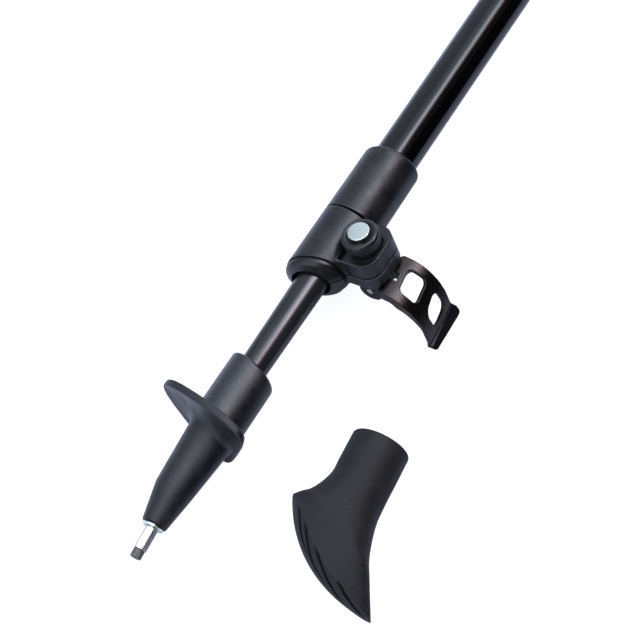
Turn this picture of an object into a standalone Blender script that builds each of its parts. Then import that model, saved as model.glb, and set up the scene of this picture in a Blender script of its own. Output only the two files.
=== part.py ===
"""A two-section nordic walking pole with an outside lever lock, and the rubber boot taken off its tip.

Metres, +Z up. The pole lies on the ground along Y, its spike towards -Y, with the lock's lever open;
the boot lies beside the spike. In the pole's own frame Y runs up the shaft from the spike's end, X points
to the clamp's ears and Z points out of the adjuster nut.
"""
import math

import bmesh
import bpy
import numpy as np
from mathutils import Matrix, Vector

MM = 0.001
DEG = math.pi / 180.0

# Clearances between pieces
GAP = 0.3 * MM
SLIDE_GAP = 0.35 * MM
MESH_EPS = 1.0e-5

# Shaft tubes
UPPER_RADIUS = 8.0 * MM
UPPER_WALL = 1.0 * MM
UPPER_BOTTOM = 143.5 * MM
UPPER_LENGTH = 678.0 * MM
LOWER_RADIUS = 6.5 * MM
LOWER_WALL = 0.9 * MM
LOWER_BOTTOM = 30.0 * MM
LOWER_LENGTH = 632.0 * MM
TAPER_LENGTH = 155.0 * MM
TAPER_END_RADIUS = 4.55 * MM
GUIDE_LENGTH = 9.0 * MM
GUIDE_STEM = 20.0 * MM
PLUG_LENGTH = 20.0 * MM
PLUG_HEAD = 2.5 * MM

# Lever lock: collar, slits and ears
COLLAR_RADIUS = 10.9 * MM
COLLAR_TOP_RADIUS = 10.65 * MM
COLLAR_BOTTOM = 118.0 * MM
COLLAR_TOP = 169.8 * MM
COLLAR_BOTTOM_SLOPE = 0.27
COLLAR_TOP_SLOPE = 0.08
COLLAR_SHOULDER = 2.6 * MM
FLEX_SLIT_Y = 140.9 * MM
FLEX_SLIT_WIDTH = 1.0 * MM
FLEX_BRIDGE_X = -9.3 * MM
LOCK_Y = 131.2 * MM
EAR_HALF_LENGTH = 9.5 * MM
EAR_REACH = 22.2 * MM
EAR_CORNER = 6.0 * MM
EAR_TOP = 7.0 * MM
EAR_BOTTOM = -5.7 * MM
EAR_SEAM = 0.8 * MM
POCKET_DEPTH = 1.7 * MM
POCKET_LIP = 1.6 * MM
POCKET_FRONT_LIP = 0.7 * MM
POCKET_HALF_LENGTH = 5.4 * MM

LINER_SLIT = 0.4 * MM
LINER_SLIT_Z = 0.4 * MM

# Clamp screw, nut and lever
BOLT_X = 14.2 * MM
BOLT_RADIUS = 2.2 * MM
EYE_RADIUS = 3.3 * MM
EYE_WIDTH = 3.2 * MM
PIN_Z = -12.2 * MM
PIN_RADIUS = 1.2 * MM
PIN_PLAY = 0.25 * MM
WHEEL_RADIUS = 6.9 * MM
WHEEL_HEIGHT = 3.2 * MM
WHEEL_DISH = 0.9 * MM
WHEEL_TEETH = 36
KNURL_DEPTH = 0.22 * MM
WASHER_RADIUS = 5.6 * MM
WASHER_THICKNESS = 4.6 * MM
WASHER_TOP_RADIUS = 4.6 * MM
WASHER_SEAT = 0.25 * MM
NUT_RADIUS = 3.9 * MM
NUT_NECK_RADIUS = 3.2 * MM
NUT_HEAD = 1.0 * MM
NUT_NECK = 1.0 * MM
CAM_RADIUS = 4.3 * MM
CAM_LIFT = 0.8 * MM
CAM_WIDTH = 13.4 * MM
CAM_HIGH_ANGLE = 255.0 * DEG
PLATE_THICKNESS = 1.2 * MM
PLATE_LENGTH = 12.6 * MM
PLATE_WIDTH = 9.6 * MM
LEVER_WIDTH = 16.4 * MM
LEVER_START = (20.0 * MM, -7.1 * MM)
LEVER_HEADING = -6.0 * DEG
LEVER_BENDS = ((12.0 * MM, -36.0 * DEG), (30.0 * MM, -30.0 * DEG), (22.0 * MM, -20.0 * DEG))
LEVER_LIP_LENGTH = 3.4 * MM
LEVER_WALL = 1.6 * MM
LEVER_ROOT_WALL = 2.8 * MM
LEVER_LIP_WALL = 3.0 * MM
LEVER_LIP_RISE = 0.6 * MM
LEVER_SKEW = 0.165
LEVER_NOTCH = 4.3 * MM
WINDOW_HEIGHT = 9.4 * MM
WINDOW_SHIFT = 0.5 * MM
WINDOW_CORNER = 2.3 * MM
WINDOW_SPANS = ((6.5 * MM, 14.3 * MM), (18.9 * MM, 27.3 * MM))

WHEEL_SEAT = EAR_TOP - POCKET_DEPTH - WASHER_SEAT + GAP + WASHER_THICKNESS + GAP

# Tip: ferrule, flange, cone, spike
TOE_ANGLE = 146.0 * DEG
TIP_OFFSET = 1.0 * MM
FERRULE_RADIUS = 9.2 * MM
FERRULE_OFFSET = 0.8 * MM
FERRULE_TOP = 75.2 * MM
FERRULE_TOP_SLOPE = 0.22
FLANGE_Y = 52.3 * MM
FLANGE_SLOPE = 0.18
FLANGE_TOE = 21.8 * MM
FLANGE_HEEL = 11.8 * MM
FLANGE_HALF_WIDTH = 19.0 * MM
FLANGE_WIDEST = -3.2 * MM
FLANGE_THICKNESS = 2.8 * MM
FLANGE_BEVEL = 1.7 * MM
CONE_TOP_RADIUS = 8.3 * MM
CONE_WAIST_RADIUS = 6.7 * MM
CONE_WAIST_Y = 25.5 * MM
CONE_END_RADIUS = 4.4 * MM
CONE_END_Y = 12.6 * MM
SPIKE_LEAN = 4.5 * DEG
SPIKE_OFFSET = TIP_OFFSET + (CONE_WAIST_Y - CONE_END_Y) * math.tan(SPIKE_LEAN)
RING_RADIUS = 3.95 * MM
RING_THICKNESS = 0.9 * MM
POST_RADIUS = 2.45 * MM
POST_LENGTH = 7.3 * MM
SHANK_RADIUS = 1.7 * MM
SHANK_LENGTH = 14.0 * MM
CARBIDE_RADIUS = 1.95 * MM
CARBIDE_LENGTH = 3.4 * MM
SPIGOT_RADIUS = 1.1 * MM
SPIGOT_LENGTH = 2.4 * MM

# Grip
TUBE_IN_HEAD = 3.9 * MM
GRIP_RING_LENGTH = 7.0 * MM
GRIP_RING_RADIUS = 13.2 * MM
SLEEVE_LENGTH = 126.0 * MM
SLEEVE_RADII = (14.3 * MM, 14.9 * MM, 13.9 * MM, 13.7 * MM, 14.6 * MM, 15.4 * MM)
HEAD_LENGTH = 44.0 * MM
HEAD_RADIUS = 16.0 * MM
HEAD_CROWN = 12.0 * MM
BUTTON_RADIUS = 7.0 * MM
BUTTON_TRAVEL = 4.0 * MM
BUTTON_PROUD = 4.6 * MM
BUTTON_STEM_RADIUS = 2.6 * MM
SLOT_LENGTH = 6.0 * MM
SLOT_WIDTH = 17.0 * MM
SLOT_FLOOR = 4.0 * MM
SPRING_ROOM = 10.0 * MM
SPRING_WIRE = 0.45 * MM
SPRING_COILS = 6

# Rubber boot, in its own frame: the socket runs along Y, the heel is towards -X
BOOT_MOUTH = 38.8 * MM
BOOT_SOCKET_RADIUS = 10.5 * MM
BOOT_ANKLE = 22.0 * MM
BOOT_HEEL = (-17.7 * MM, 6.9 * MM)
BOOT_TOE = (24.1 * MM, -18.7 * MM)
BOOT_SOLE_PULL = (-9.7 * MM, -10.9 * MM)
BOOT_HALF_WIDTH = 11.0 * MM
BOOT_SOLE_HALF_WIDTH = 8.5 * MM
# Shares of the way from ankle to heel and from ankle to toe (across, down), share of the half width, power
BOOT_FLARE = (
    (0.208, 0.331, 0.022, 0.191, 0.982, 2.1),
    (0.514, 0.603, 0.125, 0.365, 0.982, 2.3),
    (0.792, 0.808, 0.279, 0.529, 1.0, 2.6),
    (0.958, 0.934, 0.537, 0.703, 0.955, 2.5),
)
BOOT_BORE_DEPTH = 34.0 * MM
BOOT_SPIKE_ROOM = 11.0 * MM
BOOT_GROOVES = ((0.05, 0.36), (0.19, 0.50), (0.34, 0.62), (0.53, 0.77), (0.78, 0.95))
BOOT_GROOVE_WIDTH = 0.9 * MM
BOOT_GROOVE_DEPTH = 1.6 * MM
BOOT_DISC_THICKNESS = 1.5 * MM
BOOT_SIDE = 52.7 * MM
BOOT_ALONG = 40.2 * MM
BOOT_TURN = 4.5 * DEG

SIDES = 48
TOE = np.array([math.cos(TOE_ANGLE), 0.0, math.sin(TOE_ANGLE)])
AXIS = np.array([0.0, 1.0, 0.0])


def clear_scene():
    for item in list(bpy.data.objects):
        bpy.data.objects.remove(item, do_unlink=True)


def collection(name):
    made = bpy.data.collections.new(name)
    bpy.context.scene.collection.children.link(made)
    return made


def material(name, colour, roughness, metallic):
    made = bpy.data.materials.new(name)
    made.use_nodes = True
    shader = made.node_tree.nodes["Principled BSDF"]
    shader.inputs["Base Color"].default_value = (*colour, 1.0)
    shader.inputs["Roughness"].default_value = roughness
    shader.inputs["Metallic"].default_value = metallic
    return made


def empty(name, parent=None, place=(0.0, 0.0, 0.0), turn=(0.0, 0.0, 0.0)):
    made = bpy.data.objects.new(name, None)
    PARTS.objects.link(made)
    made.parent = parent
    made.location = place
    made.rotation_euler = turn
    made.empty_display_size = 10.0 * MM
    return made


def piece(name, mesh_of, parent, finish):
    """An object from a bmesh, shaded smooth with sharp edges kept."""
    mesh = bpy.data.meshes.new(name)
    bmesh.ops.recalc_face_normals(mesh_of, faces=mesh_of.faces)
    mesh_of.to_mesh(mesh)
    mesh_of.free()
    mesh.materials.append(finish)
    mesh.shade_smooth()
    mesh.set_sharp_from_angle(angle=35.0 * DEG)
    made = bpy.data.objects.new(name, mesh)
    PARTS.objects.link(made)
    made.parent = parent
    return made


def cutter(name, mesh_of, parent):
    made = piece(name, mesh_of, parent, MATERIALS["cutter"])
    PARTS.objects.unlink(made)
    CUTTERS.objects.link(made)
    made.hide_render = True
    made.display_type = "WIRE"
    return made


def combine(target, tool, operation="DIFFERENCE"):
    step = target.modifiers.new(f"{operation.lower()} {tool.name}", "BOOLEAN")
    step.operation = operation
    step.object = tool


def box(low, high, round_edges=None, radius=0.0, far_only=False):
    """A box between two corners. Edges along one axis (0, 1 or 2) get the radius, or only those at high X."""
    made = bmesh.new()
    bmesh.ops.create_cube(made, size=1.0)
    low, high = Vector(low), Vector(high)
    bmesh.ops.scale(made, vec=high - low, verts=made.verts)
    bmesh.ops.translate(made, vec=(high + low) / 2.0, verts=made.verts)
    if round_edges is not None:
        ways = {e: (e.verts[1].co - e.verts[0].co).normalized() for e in made.edges}
        along = [e for e in made.edges if abs(ways[e][round_edges]) > 0.99]
        if far_only:
            along = [e for e in along if e.verts[0].co.x > (high.x + low.x) / 2.0]
        bmesh.ops.bevel(made, geom=along, offset=radius, segments=6, profile=0.5, affect="EDGES")
    return made


def rod(radius, start, end, sides=SIDES, end_radius=None):
    """A straight cylinder or cone between two points."""
    start, end = Vector(start), Vector(end)
    made = bmesh.new()
    far = radius if end_radius is None else end_radius
    bmesh.ops.create_cone(
        made, cap_ends=True, segments=sides, radius1=radius, radius2=far, depth=(end - start).length
    )
    turn = (end - start).to_track_quat("Z", "Y").to_matrix().to_4x4()
    bmesh.ops.transform(made, matrix=Matrix.Translation((start + end) / 2.0) @ turn, verts=made.verts)
    return made


def turned(name, outline, parent, finish, place, turn=(-90.0 * DEG, 0.0, 0.0), sides=SIDES, closed=False):
    """A profile of (radius, height) points spun by a Screw about the object's own Z, top to bottom."""
    mesh = bpy.data.meshes.new(name)
    count = len(outline)
    links = [(k, k + 1) for k in range(count - 1)]
    if closed:
        links.append((count - 1, 0))
    mesh.from_pydata([(radius, 0.0, height) for radius, height in outline], links, [])
    mesh.materials.append(finish)
    made = bpy.data.objects.new(name, mesh)
    PARTS.objects.link(made)
    made.parent = parent
    made.location = place
    made.rotation_euler = turn
    spin = made.modifiers.new("turned", "SCREW")
    spin.steps = sides
    spin.render_steps = sides
    spin.use_merge_vertices = True
    spin.merge_threshold = MESH_EPS
    spin.use_smooth_shade = False
    return made


def ring(radius, y, slope=0.0, towards=0.0, shift=0.0, sides=SIDES):
    """A circle about the shaft, in a plane that rises by slope towards an angle in XZ."""
    angle = np.linspace(0.0, 2.0 * math.pi, sides, endpoint=False)
    x = radius * np.cos(angle)
    z = radius * np.sin(angle)
    rise = slope * (x * math.cos(towards) + z * math.sin(towards))
    return np.stack([x, y + rise, z], axis=1) - shift * TOE


def loft(rings, loop):
    """Skin rings of equal count. A loop joins the last ring to the first, else both ends are capped."""
    made = bmesh.new()
    rows = [[made.verts.new(point) for point in points] for points in rings]
    count = len(rows[0])
    pairs = list(zip(rows, rows[1:]))
    if loop:
        pairs.append((rows[-1], rows[0]))
    else:
        made.faces.new(rows[0])
        made.faces.new(rows[-1])
    for lower, upper in pairs:
        for k in range(count):
            n = (k + 1) % count
            made.faces.new((lower[k], lower[n], upper[n], upper[k]))
    return made


def lower_tube_radius(y):
    """Outer radius of the lower tube: parallel, then drawn down evenly to its bottom end."""
    share = min(max((y - LOWER_BOTTOM) / TAPER_LENGTH, 0.0), 1.0)
    return TAPER_END_RADIUS + (LOWER_RADIUS - TAPER_END_RADIUS) * share


def make_tubes(pole, lower):
    top = UPPER_LENGTH
    bore = UPPER_RADIUS - UPPER_WALL
    turned(
        "upper_shaft",
        [(UPPER_RADIUS, top), (UPPER_RADIUS, 0.0), (bore, 0.0), (bore, top)],
        pole, MATERIALS["gloss_black"], (0.0, UPPER_BOTTOM, 0.0), closed=True,
    )
    low, mid, high = LOWER_BOTTOM, LOWER_BOTTOM + TAPER_LENGTH, LOWER_BOTTOM + LOWER_LENGTH
    outer = [(lower_tube_radius(y), y - low) for y in (high, mid, low)]
    inner = [(radius - LOWER_WALL, y) for radius, y in reversed(outer)]
    turned("lower_shaft", outer + inner, lower, MATERIALS["gloss_black"], (0.0, low, 0.0), closed=True)
    guide_radius = bore - SLIDE_GAP
    stem_radius = LOWER_RADIUS - LOWER_WALL - GAP
    turned(
        "shaft_guide",
        [
            (0.0, GUIDE_LENGTH), (guide_radius - MM, GUIDE_LENGTH), (guide_radius, GUIDE_LENGTH - MM),
            (guide_radius, 0.0), (stem_radius, 0.0), (stem_radius, -GUIDE_STEM), (0.0, -GUIDE_STEM),
        ],
        lower, MATERIALS["black_plastic"], (0.0, high + GAP, 0.0), sides=32,
    )
    plug_radius = bore - GAP
    turned(
        "shaft_plug",
        [
            (0.0, PLUG_HEAD), (UPPER_RADIUS, PLUG_HEAD), (UPPER_RADIUS, 0.0),
            (plug_radius, 0.0), (plug_radius, -PLUG_LENGTH), (0.0, -PLUG_LENGTH),
        ],
        pole, MATERIALS["black_plastic"], (0.0, UPPER_BOTTOM + UPPER_LENGTH + GAP, 0.0), sides=32,
    )


def make_collar(pole):
    """The clamp: a slit tube with two ears, cut for the screw, the nut's pocket and the flexing band."""
    bore = UPPER_RADIUS + GAP
    outer = [ring(bore, COLLAR_BOTTOM, COLLAR_BOTTOM_SLOPE)]
    outer.append(ring(COLLAR_RADIUS, COLLAR_BOTTOM, COLLAR_BOTTOM_SLOPE))
    shoulder = COLLAR_TOP - COLLAR_SHOULDER
    for step in range(5):
        lean = step * 22.5 * DEG
        radius = COLLAR_TOP_RADIUS - (COLLAR_TOP_RADIUS - bore - 0.1 * MM) * (1.0 - math.cos(lean))
        outer.append(ring(radius, shoulder + COLLAR_SHOULDER * math.sin(lean), COLLAR_TOP_SLOPE))
    outer.append(ring(bore, COLLAR_TOP, COLLAR_TOP_SLOPE))
    collar = piece("lock_collar", loft(outer, True), pole, MATERIALS["satin_black"])

    ears_low = LOCK_Y - EAR_HALF_LENGTH
    ears_high = LOCK_Y + EAR_HALF_LENGTH
    ears = box((-EAR_REACH, ears_low, EAR_BOTTOM), (EAR_REACH, ears_high, EAR_TOP), 2, EAR_CORNER)
    ears = cutter("ear_block", ears, pole)
    half = box((-2.0 * EAR_REACH, 0.0, -EAR_REACH), (0.5 * COLLAR_RADIUS, 2.0 * COLLAR_TOP, EAR_REACH))
    combine(ears, cutter("ear_trim", half, pole))
    inside = rod((bore + COLLAR_RADIUS) / 2.0, (0.0, 0.0, 0.0), (0.0, 2.0 * COLLAR_TOP, 0.0))
    combine(ears, cutter("ear_root", inside, pole))
    combine(collar, ears, "UNION")

    slit_low = FLEX_SLIT_Y - FLEX_SLIT_WIDTH / 2.0
    slit_high = FLEX_SLIT_Y + FLEX_SLIT_WIDTH / 2.0
    slit = box((FLEX_BRIDGE_X, slit_low, -EAR_REACH), (2.0 * EAR_REACH, slit_high, EAR_REACH))
    combine(collar, cutter("flex_slit", slit, pole))
    seam = box((0.5 * bore, 0.0, -EAR_SEAM / 2.0), (2.0 * EAR_REACH, slit_low + GAP, EAR_SEAM / 2.0))
    combine(collar, cutter("ear_seam", seam, pole))
    hole = rod(BOLT_RADIUS + GAP, (BOLT_X, LOCK_Y, 2.0 * EAR_BOTTOM), (BOLT_X, LOCK_Y, 2.0 * EAR_TOP), 32)
    combine(collar, cutter("screw_hole", hole, pole))
    floor = EAR_TOP - POCKET_DEPTH
    pocket_start = BOLT_X - WASHER_RADIUS - GAP
    pocket = box(
        (pocket_start, ears_low + POCKET_FRONT_LIP, floor),
        (EAR_REACH - POCKET_LIP, LOCK_Y + POCKET_HALF_LENGTH, 3.0 * EAR_TOP),
        2, EAR_CORNER - POCKET_LIP, True,
    )
    combine(collar, cutter("nut_pocket", pocket, pole))
    seat = rod(WASHER_RADIUS + GAP, (BOLT_X, LOCK_Y, floor - WASHER_SEAT), (BOLT_X, LOCK_Y, 3.0 * EAR_TOP))
    combine(collar, cutter("washer_seat", seat, pole))
    room_low = EAR_TOP + 0.5 * GAP
    room = rod(WHEEL_RADIUS + 2.0 * GAP, (BOLT_X, LOCK_Y, room_low), (BOLT_X, LOCK_Y, 3.0 * EAR_TOP))
    combine(collar, cutter("wheel_room", room, pole))
    return collar


def make_liner(pole):
    """Split plastic bush that the clamp squeezes on the lower tube; its conical flange shows below."""
    bore = LOWER_RADIUS + SLIDE_GAP
    sleeve = UPPER_RADIUS
    flange = COLLAR_RADIUS - 0.5 * MM
    top = COLLAR_BOTTOM - GAP * 1.2
    slope = COLLAR_BOTTOM_SLOPE
    rings = [
        ring(bore, top - 3.8 * MM, slope), ring(flange - 1.1 * MM, top - 2.4 * MM, slope),
        ring(flange, top - 1.3 * MM, slope), ring(flange, top, slope), ring(sleeve, top, slope),
        ring(sleeve, FLEX_SLIT_Y - 1.5 * MM), ring(bore, FLEX_SLIT_Y - 1.5 * MM),
    ]
    liner = piece("clamp_liner", loft(rings, True), pole, MATERIALS["black_plastic"])
    slit = box((0.5 * bore, 0.0, LINER_SLIT_Z), (2.0 * flange, COLLAR_TOP, LINER_SLIT_Z + LINER_SLIT))
    combine(liner, cutter("liner_slit", slit, pole))


def make_screw(pole):
    """The eye bolt between the ears: its eye holds the lever's pin, its thread takes the nut."""
    top = WHEEL_SEAT + WHEEL_HEIGHT
    bolt = piece(
        "clamp_bolt", rod(BOLT_RADIUS, (BOLT_X, LOCK_Y, PIN_Z), (BOLT_X, LOCK_Y, top), 24),
        pole, MATERIALS["steel"],
    )
    half = EYE_WIDTH / 2.0
    eye = rod(EYE_RADIUS, (BOLT_X, LOCK_Y - half, PIN_Z), (BOLT_X, LOCK_Y + half, PIN_Z), 24)
    combine(bolt, cutter("bolt_eye", eye, pole), "UNION")
    hole_ends = (BOLT_X, LOCK_Y - EYE_WIDTH, PIN_Z), (BOLT_X, LOCK_Y + EYE_WIDTH, PIN_Z)
    hole = rod(PIN_RADIUS + PIN_PLAY, *hole_ends, 24)
    combine(bolt, cutter("eye_hole", hole, pole))

    low = EAR_BOTTOM - GAP - PLATE_THICKNESS
    plate = box(
        (BOLT_X - PLATE_WIDTH / 2.0, LOCK_Y - PLATE_LENGTH / 2.0, low),
        (BOLT_X + PLATE_WIDTH / 2.0, LOCK_Y + PLATE_LENGTH / 2.0, EAR_BOTTOM - GAP), 2, 1.5 * MM,
    )
    plate = piece("cam_plate", plate, pole, MATERIALS["steel"])
    hole = rod(BOLT_RADIUS + GAP, (BOLT_X, LOCK_Y, 2.0 * low), (BOLT_X, LOCK_Y, 0.0), 24)
    combine(plate, cutter("plate_hole", hole, pole))

    floor = WHEEL_SEAT - GAP - WASHER_THICKNESS
    bore = BOLT_RADIUS + GAP
    turned(
        "thrust_washer",
        [
            (WASHER_TOP_RADIUS, WASHER_THICKNESS), (WASHER_RADIUS, 0.35 * WASHER_THICKNESS),
            (WASHER_RADIUS, 0.0), (bore, 0.0), (bore, WASHER_THICKNESS),
        ],
        pole, MATERIALS["black_plastic"], (BOLT_X, LOCK_Y, floor), (0.0, 0.0, 0.0), 32, True,
    )


def make_adjuster(adjuster):
    """Knurled thumbwheel pressed on a chromed nut whose round head stands proud of it."""
    height = WHEEL_HEIGHT
    bore = NUT_NECK_RADIUS + GAP
    profile = [
        (bore, 0.0), (WHEEL_RADIUS - 0.7 * MM, 0.0), (WHEEL_RADIUS - 0.3 * MM, 0.4 * MM),
        (WHEEL_RADIUS - 0.2 * MM, 1.0 * MM), (WHEEL_RADIUS - 0.7 * MM, 1.15 * MM),
        (WHEEL_RADIUS - 0.7 * MM, 1.3 * MM), (WHEEL_RADIUS, 1.45 * MM), (WHEEL_RADIUS, 2.1 * MM),
        (WHEEL_RADIUS - 0.3 * MM, 2.3 * MM), (WHEEL_RADIUS - 0.3 * MM, height - 0.5 * MM),
        (WHEEL_RADIUS - 1.0 * MM, height), (NUT_RADIUS + 1.2 * MM, height - 0.2 * MM),
        (NUT_RADIUS + 0.5 * MM, height - WHEEL_DISH), (bore, height - WHEEL_DISH),
    ]
    knurled = (2, 3, 6, 7)
    angle = np.linspace(0.0, 2.0 * math.pi, 2 * WHEEL_TEETH, endpoint=False)
    rings = []
    for k, (radius, z) in enumerate(profile):
        depth = KNURL_DEPTH * (np.arange(2 * WHEEL_TEETH) % 2) if k in knurled else 0.0
        spokes = radius - depth
        level = np.full(angle.shape, z)
        rings.append(np.stack([spokes * np.cos(angle), spokes * np.sin(angle), level], axis=1))
    piece("adjuster_wheel", loft(rings, True), adjuster, MATERIALS["black_plastic"])

    head_low = height - WHEEL_DISH + NUT_NECK
    head_top = head_low + NUT_HEAD
    thread = BOLT_RADIUS + GAP
    turned(
        "adjuster_nut",
        [
            (0.0, head_top), (NUT_RADIUS - 0.3 * MM, head_top), (NUT_RADIUS, head_top - 0.3 * MM),
            (NUT_RADIUS, head_low), (NUT_NECK_RADIUS, head_low), (NUT_NECK_RADIUS, 0.0),
            (thread, 0.0), (thread, height + 0.2 * MM), (0.0, height + 0.2 * MM),
        ],
        adjuster, MATERIALS["chrome"], (0.0, 0.0, 0.0), (0.0, 0.0, 0.0), 32,
    )


def lever_path():
    """Points, headings and lengths along the lever's outer face: a few bends, then a straight lip."""
    place = np.array(LEVER_START)
    heading = LEVER_HEADING
    rows = [(place[0], place[1], heading, 0.0)]
    length = 0.0
    for radius, turn in LEVER_BENDS:
        count = max(3, round(abs(turn) / (7.0 * DEG)))
        for _ in range(count):
            step = radius * abs(turn) / count
            middle = heading + turn / count / 2.0
            place = place + step * np.array([math.cos(middle), math.sin(middle)])
            heading += turn / count
            length += step
            rows.append((place[0], place[1], heading, length))
    place = place + 2.0 * LEVER_LIP_LENGTH * np.array([math.cos(heading), math.sin(heading)])
    rows.append((place[0], place[1], heading, length + 2.0 * LEVER_LIP_LENGTH))
    return np.array(rows), length + LEVER_LIP_LENGTH


def lever_at(rows, length):
    return [float(np.interp(length, rows[:, 3], rows[:, k])) for k in range(3)]


def lever_section(side):
    """The lever's outline on its low or high side: strip, raised lip and round cam."""
    rows, full = lever_path()
    skew = -side * LEVER_SKEW * LEVER_WIDTH / 2.0
    cam_half, half = CAM_WIDTH / 2.0, LEVER_WIDTH / 2.0
    bend_end = full - LEVER_LIP_LENGTH
    stops = list(rows[:-1, 3]) + [bend_end + 0.3 * LEVER_LIP_LENGTH, full - 0.4 * MM, full]
    walls = [0.0, 0.35 * full, bend_end, full - 0.4 * MM, full]
    sizes = [LEVER_ROOT_WALL, LEVER_WALL, LEVER_WALL, LEVER_LIP_WALL, LEVER_LIP_WALL - 0.8 * MM]
    rises = [0.0, 0.0, 0.0, LEVER_LIP_RISE, LEVER_LIP_RISE - 0.3 * MM]
    outer, inner = [], []
    for s in stops:
        x, z, heading = lever_at(rows, s + (skew if s > bend_end else 0.0))
        y = LOCK_Y + side * float(np.interp(s, [0.05 * full, 0.3 * full], [cam_half, half]))
        rise = float(np.interp(s, walls, rises))
        wall = float(np.interp(s, walls, sizes)) - rise
        outer.append((x - rise * math.sin(heading), y, z + rise * math.cos(heading)))
        if s > 0.05 * full:
            inner.append((x + wall * math.sin(heading), y, z - wall * math.cos(heading)))
    cam_x = BOLT_X + CAM_LIFT / 2.0 * math.cos(CAM_HIGH_ANGLE)
    cam_z = PIN_Z + CAM_LIFT / 2.0 * math.sin(CAM_HIGH_ANGLE)
    cam = []
    for angle in np.linspace(-60.0 * DEG, -285.0 * DEG, 22):
        x, z = cam_x + CAM_RADIUS * math.cos(angle), cam_z + CAM_RADIUS * math.sin(angle)
        cam.append((x, LOCK_Y + side * cam_half, z))
    return np.array(outer + inner[::-1] + cam)


def make_lever(lever):
    """Cast lever: a bowed strip with two windows, a thick lip, and two cams round the pin."""
    body = loft([lever_section(-1.0), lever_section(1.0)], False)
    bmesh.ops.triangulate(body, faces=body.faces)
    shift = Matrix.Translation((-BOLT_X, -LOCK_Y, -PIN_Z))
    bmesh.ops.transform(body, matrix=shift, verts=body.verts)
    made = piece("lock_lever", body, lever, MATERIALS["lever_bronze"])
    rows, full = lever_path()
    for k, (start, end) in enumerate(WINDOW_SPANS):
        x, z, heading = lever_at(rows, (start + end) / 2.0)
        half, tall, deep = (end - start) / 2.0, WINDOW_HEIGHT / 2.0, 3.0 * LEVER_LIP_WALL
        tool = box((-half, WINDOW_SHIFT - tall, -deep), (half, WINDOW_SHIFT + tall, deep), 2, WINDOW_CORNER)
        lean = Matrix.Rotation(math.atan(LEVER_SKEW * (start + end) / 2.0 / full), 4, "Z")
        place = Matrix.Translation((x - BOLT_X, 0.0, z - PIN_Z)) @ Matrix.Rotation(-heading, 4, "Y") @ lean
        bmesh.ops.transform(tool, matrix=place, verts=tool.verts)
        combine(made, cutter(f"lever_window_{k + 1}", tool, lever))
    shank = BOLT_RADIUS + GAP
    near = LEVER_START[0] - BOLT_X
    eye_room = box((-2.0 * CAM_RADIUS, -shank, -2.0 * CAM_RADIUS), (near, shank, 2.5 * CAM_RADIUS))
    combine(made, cutter("eye_room", eye_room, lever))
    eye = EYE_WIDTH / 2.0 + GAP
    notch = box((-CAM_RADIUS, -eye, -1.8 * CAM_RADIUS), (near + LEVER_NOTCH, eye, 3.0 * CAM_RADIUS))
    combine(made, cutter("hinge_notch", notch, lever))
    hole = rod(PIN_RADIUS + PIN_PLAY, (0.0, -LEVER_WIDTH, 0.0), (0.0, LEVER_WIDTH, 0.0), 24)
    combine(made, cutter("pin_hole", hole, lever))
    end = CAM_WIDTH / 2.0 + 0.15 * MM
    piece("lever_pin", rod(PIN_RADIUS, (0.0, -end, 0.0), (0.0, end, 0.0), 24), lever, MATERIALS["steel"])


def flange_outline(y, grow=0.0):
    """The flange's rim: pointed towards the toe, blunt at the heel, in its slanted plane."""
    angle = np.linspace(0.0, 2.0 * math.pi, SIDES, endpoint=False) - TOE_ANGLE
    ahead, beside = np.cos(angle), np.sin(angle)
    toe = FLANGE_TOE - FLANGE_WIDEST + grow
    heel = FLANGE_HEEL + FLANGE_WIDEST + grow
    half = FLANGE_HALF_WIDTH + grow
    power = np.where(ahead > 0.0, 1.27, 5.0)
    reach = np.where(ahead > 0.0, toe, -heel)
    along = FLANGE_WIDEST + reach * np.abs(ahead) ** (2.0 / power)
    across = half * np.sign(beside) * np.abs(beside) ** (2.0 / power)
    side = np.cross(TOE, AXIS)
    return along[:, None] * TOE + across[:, None] * side + (y + FLANGE_SLOPE * along)[:, None] * AXIS


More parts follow.
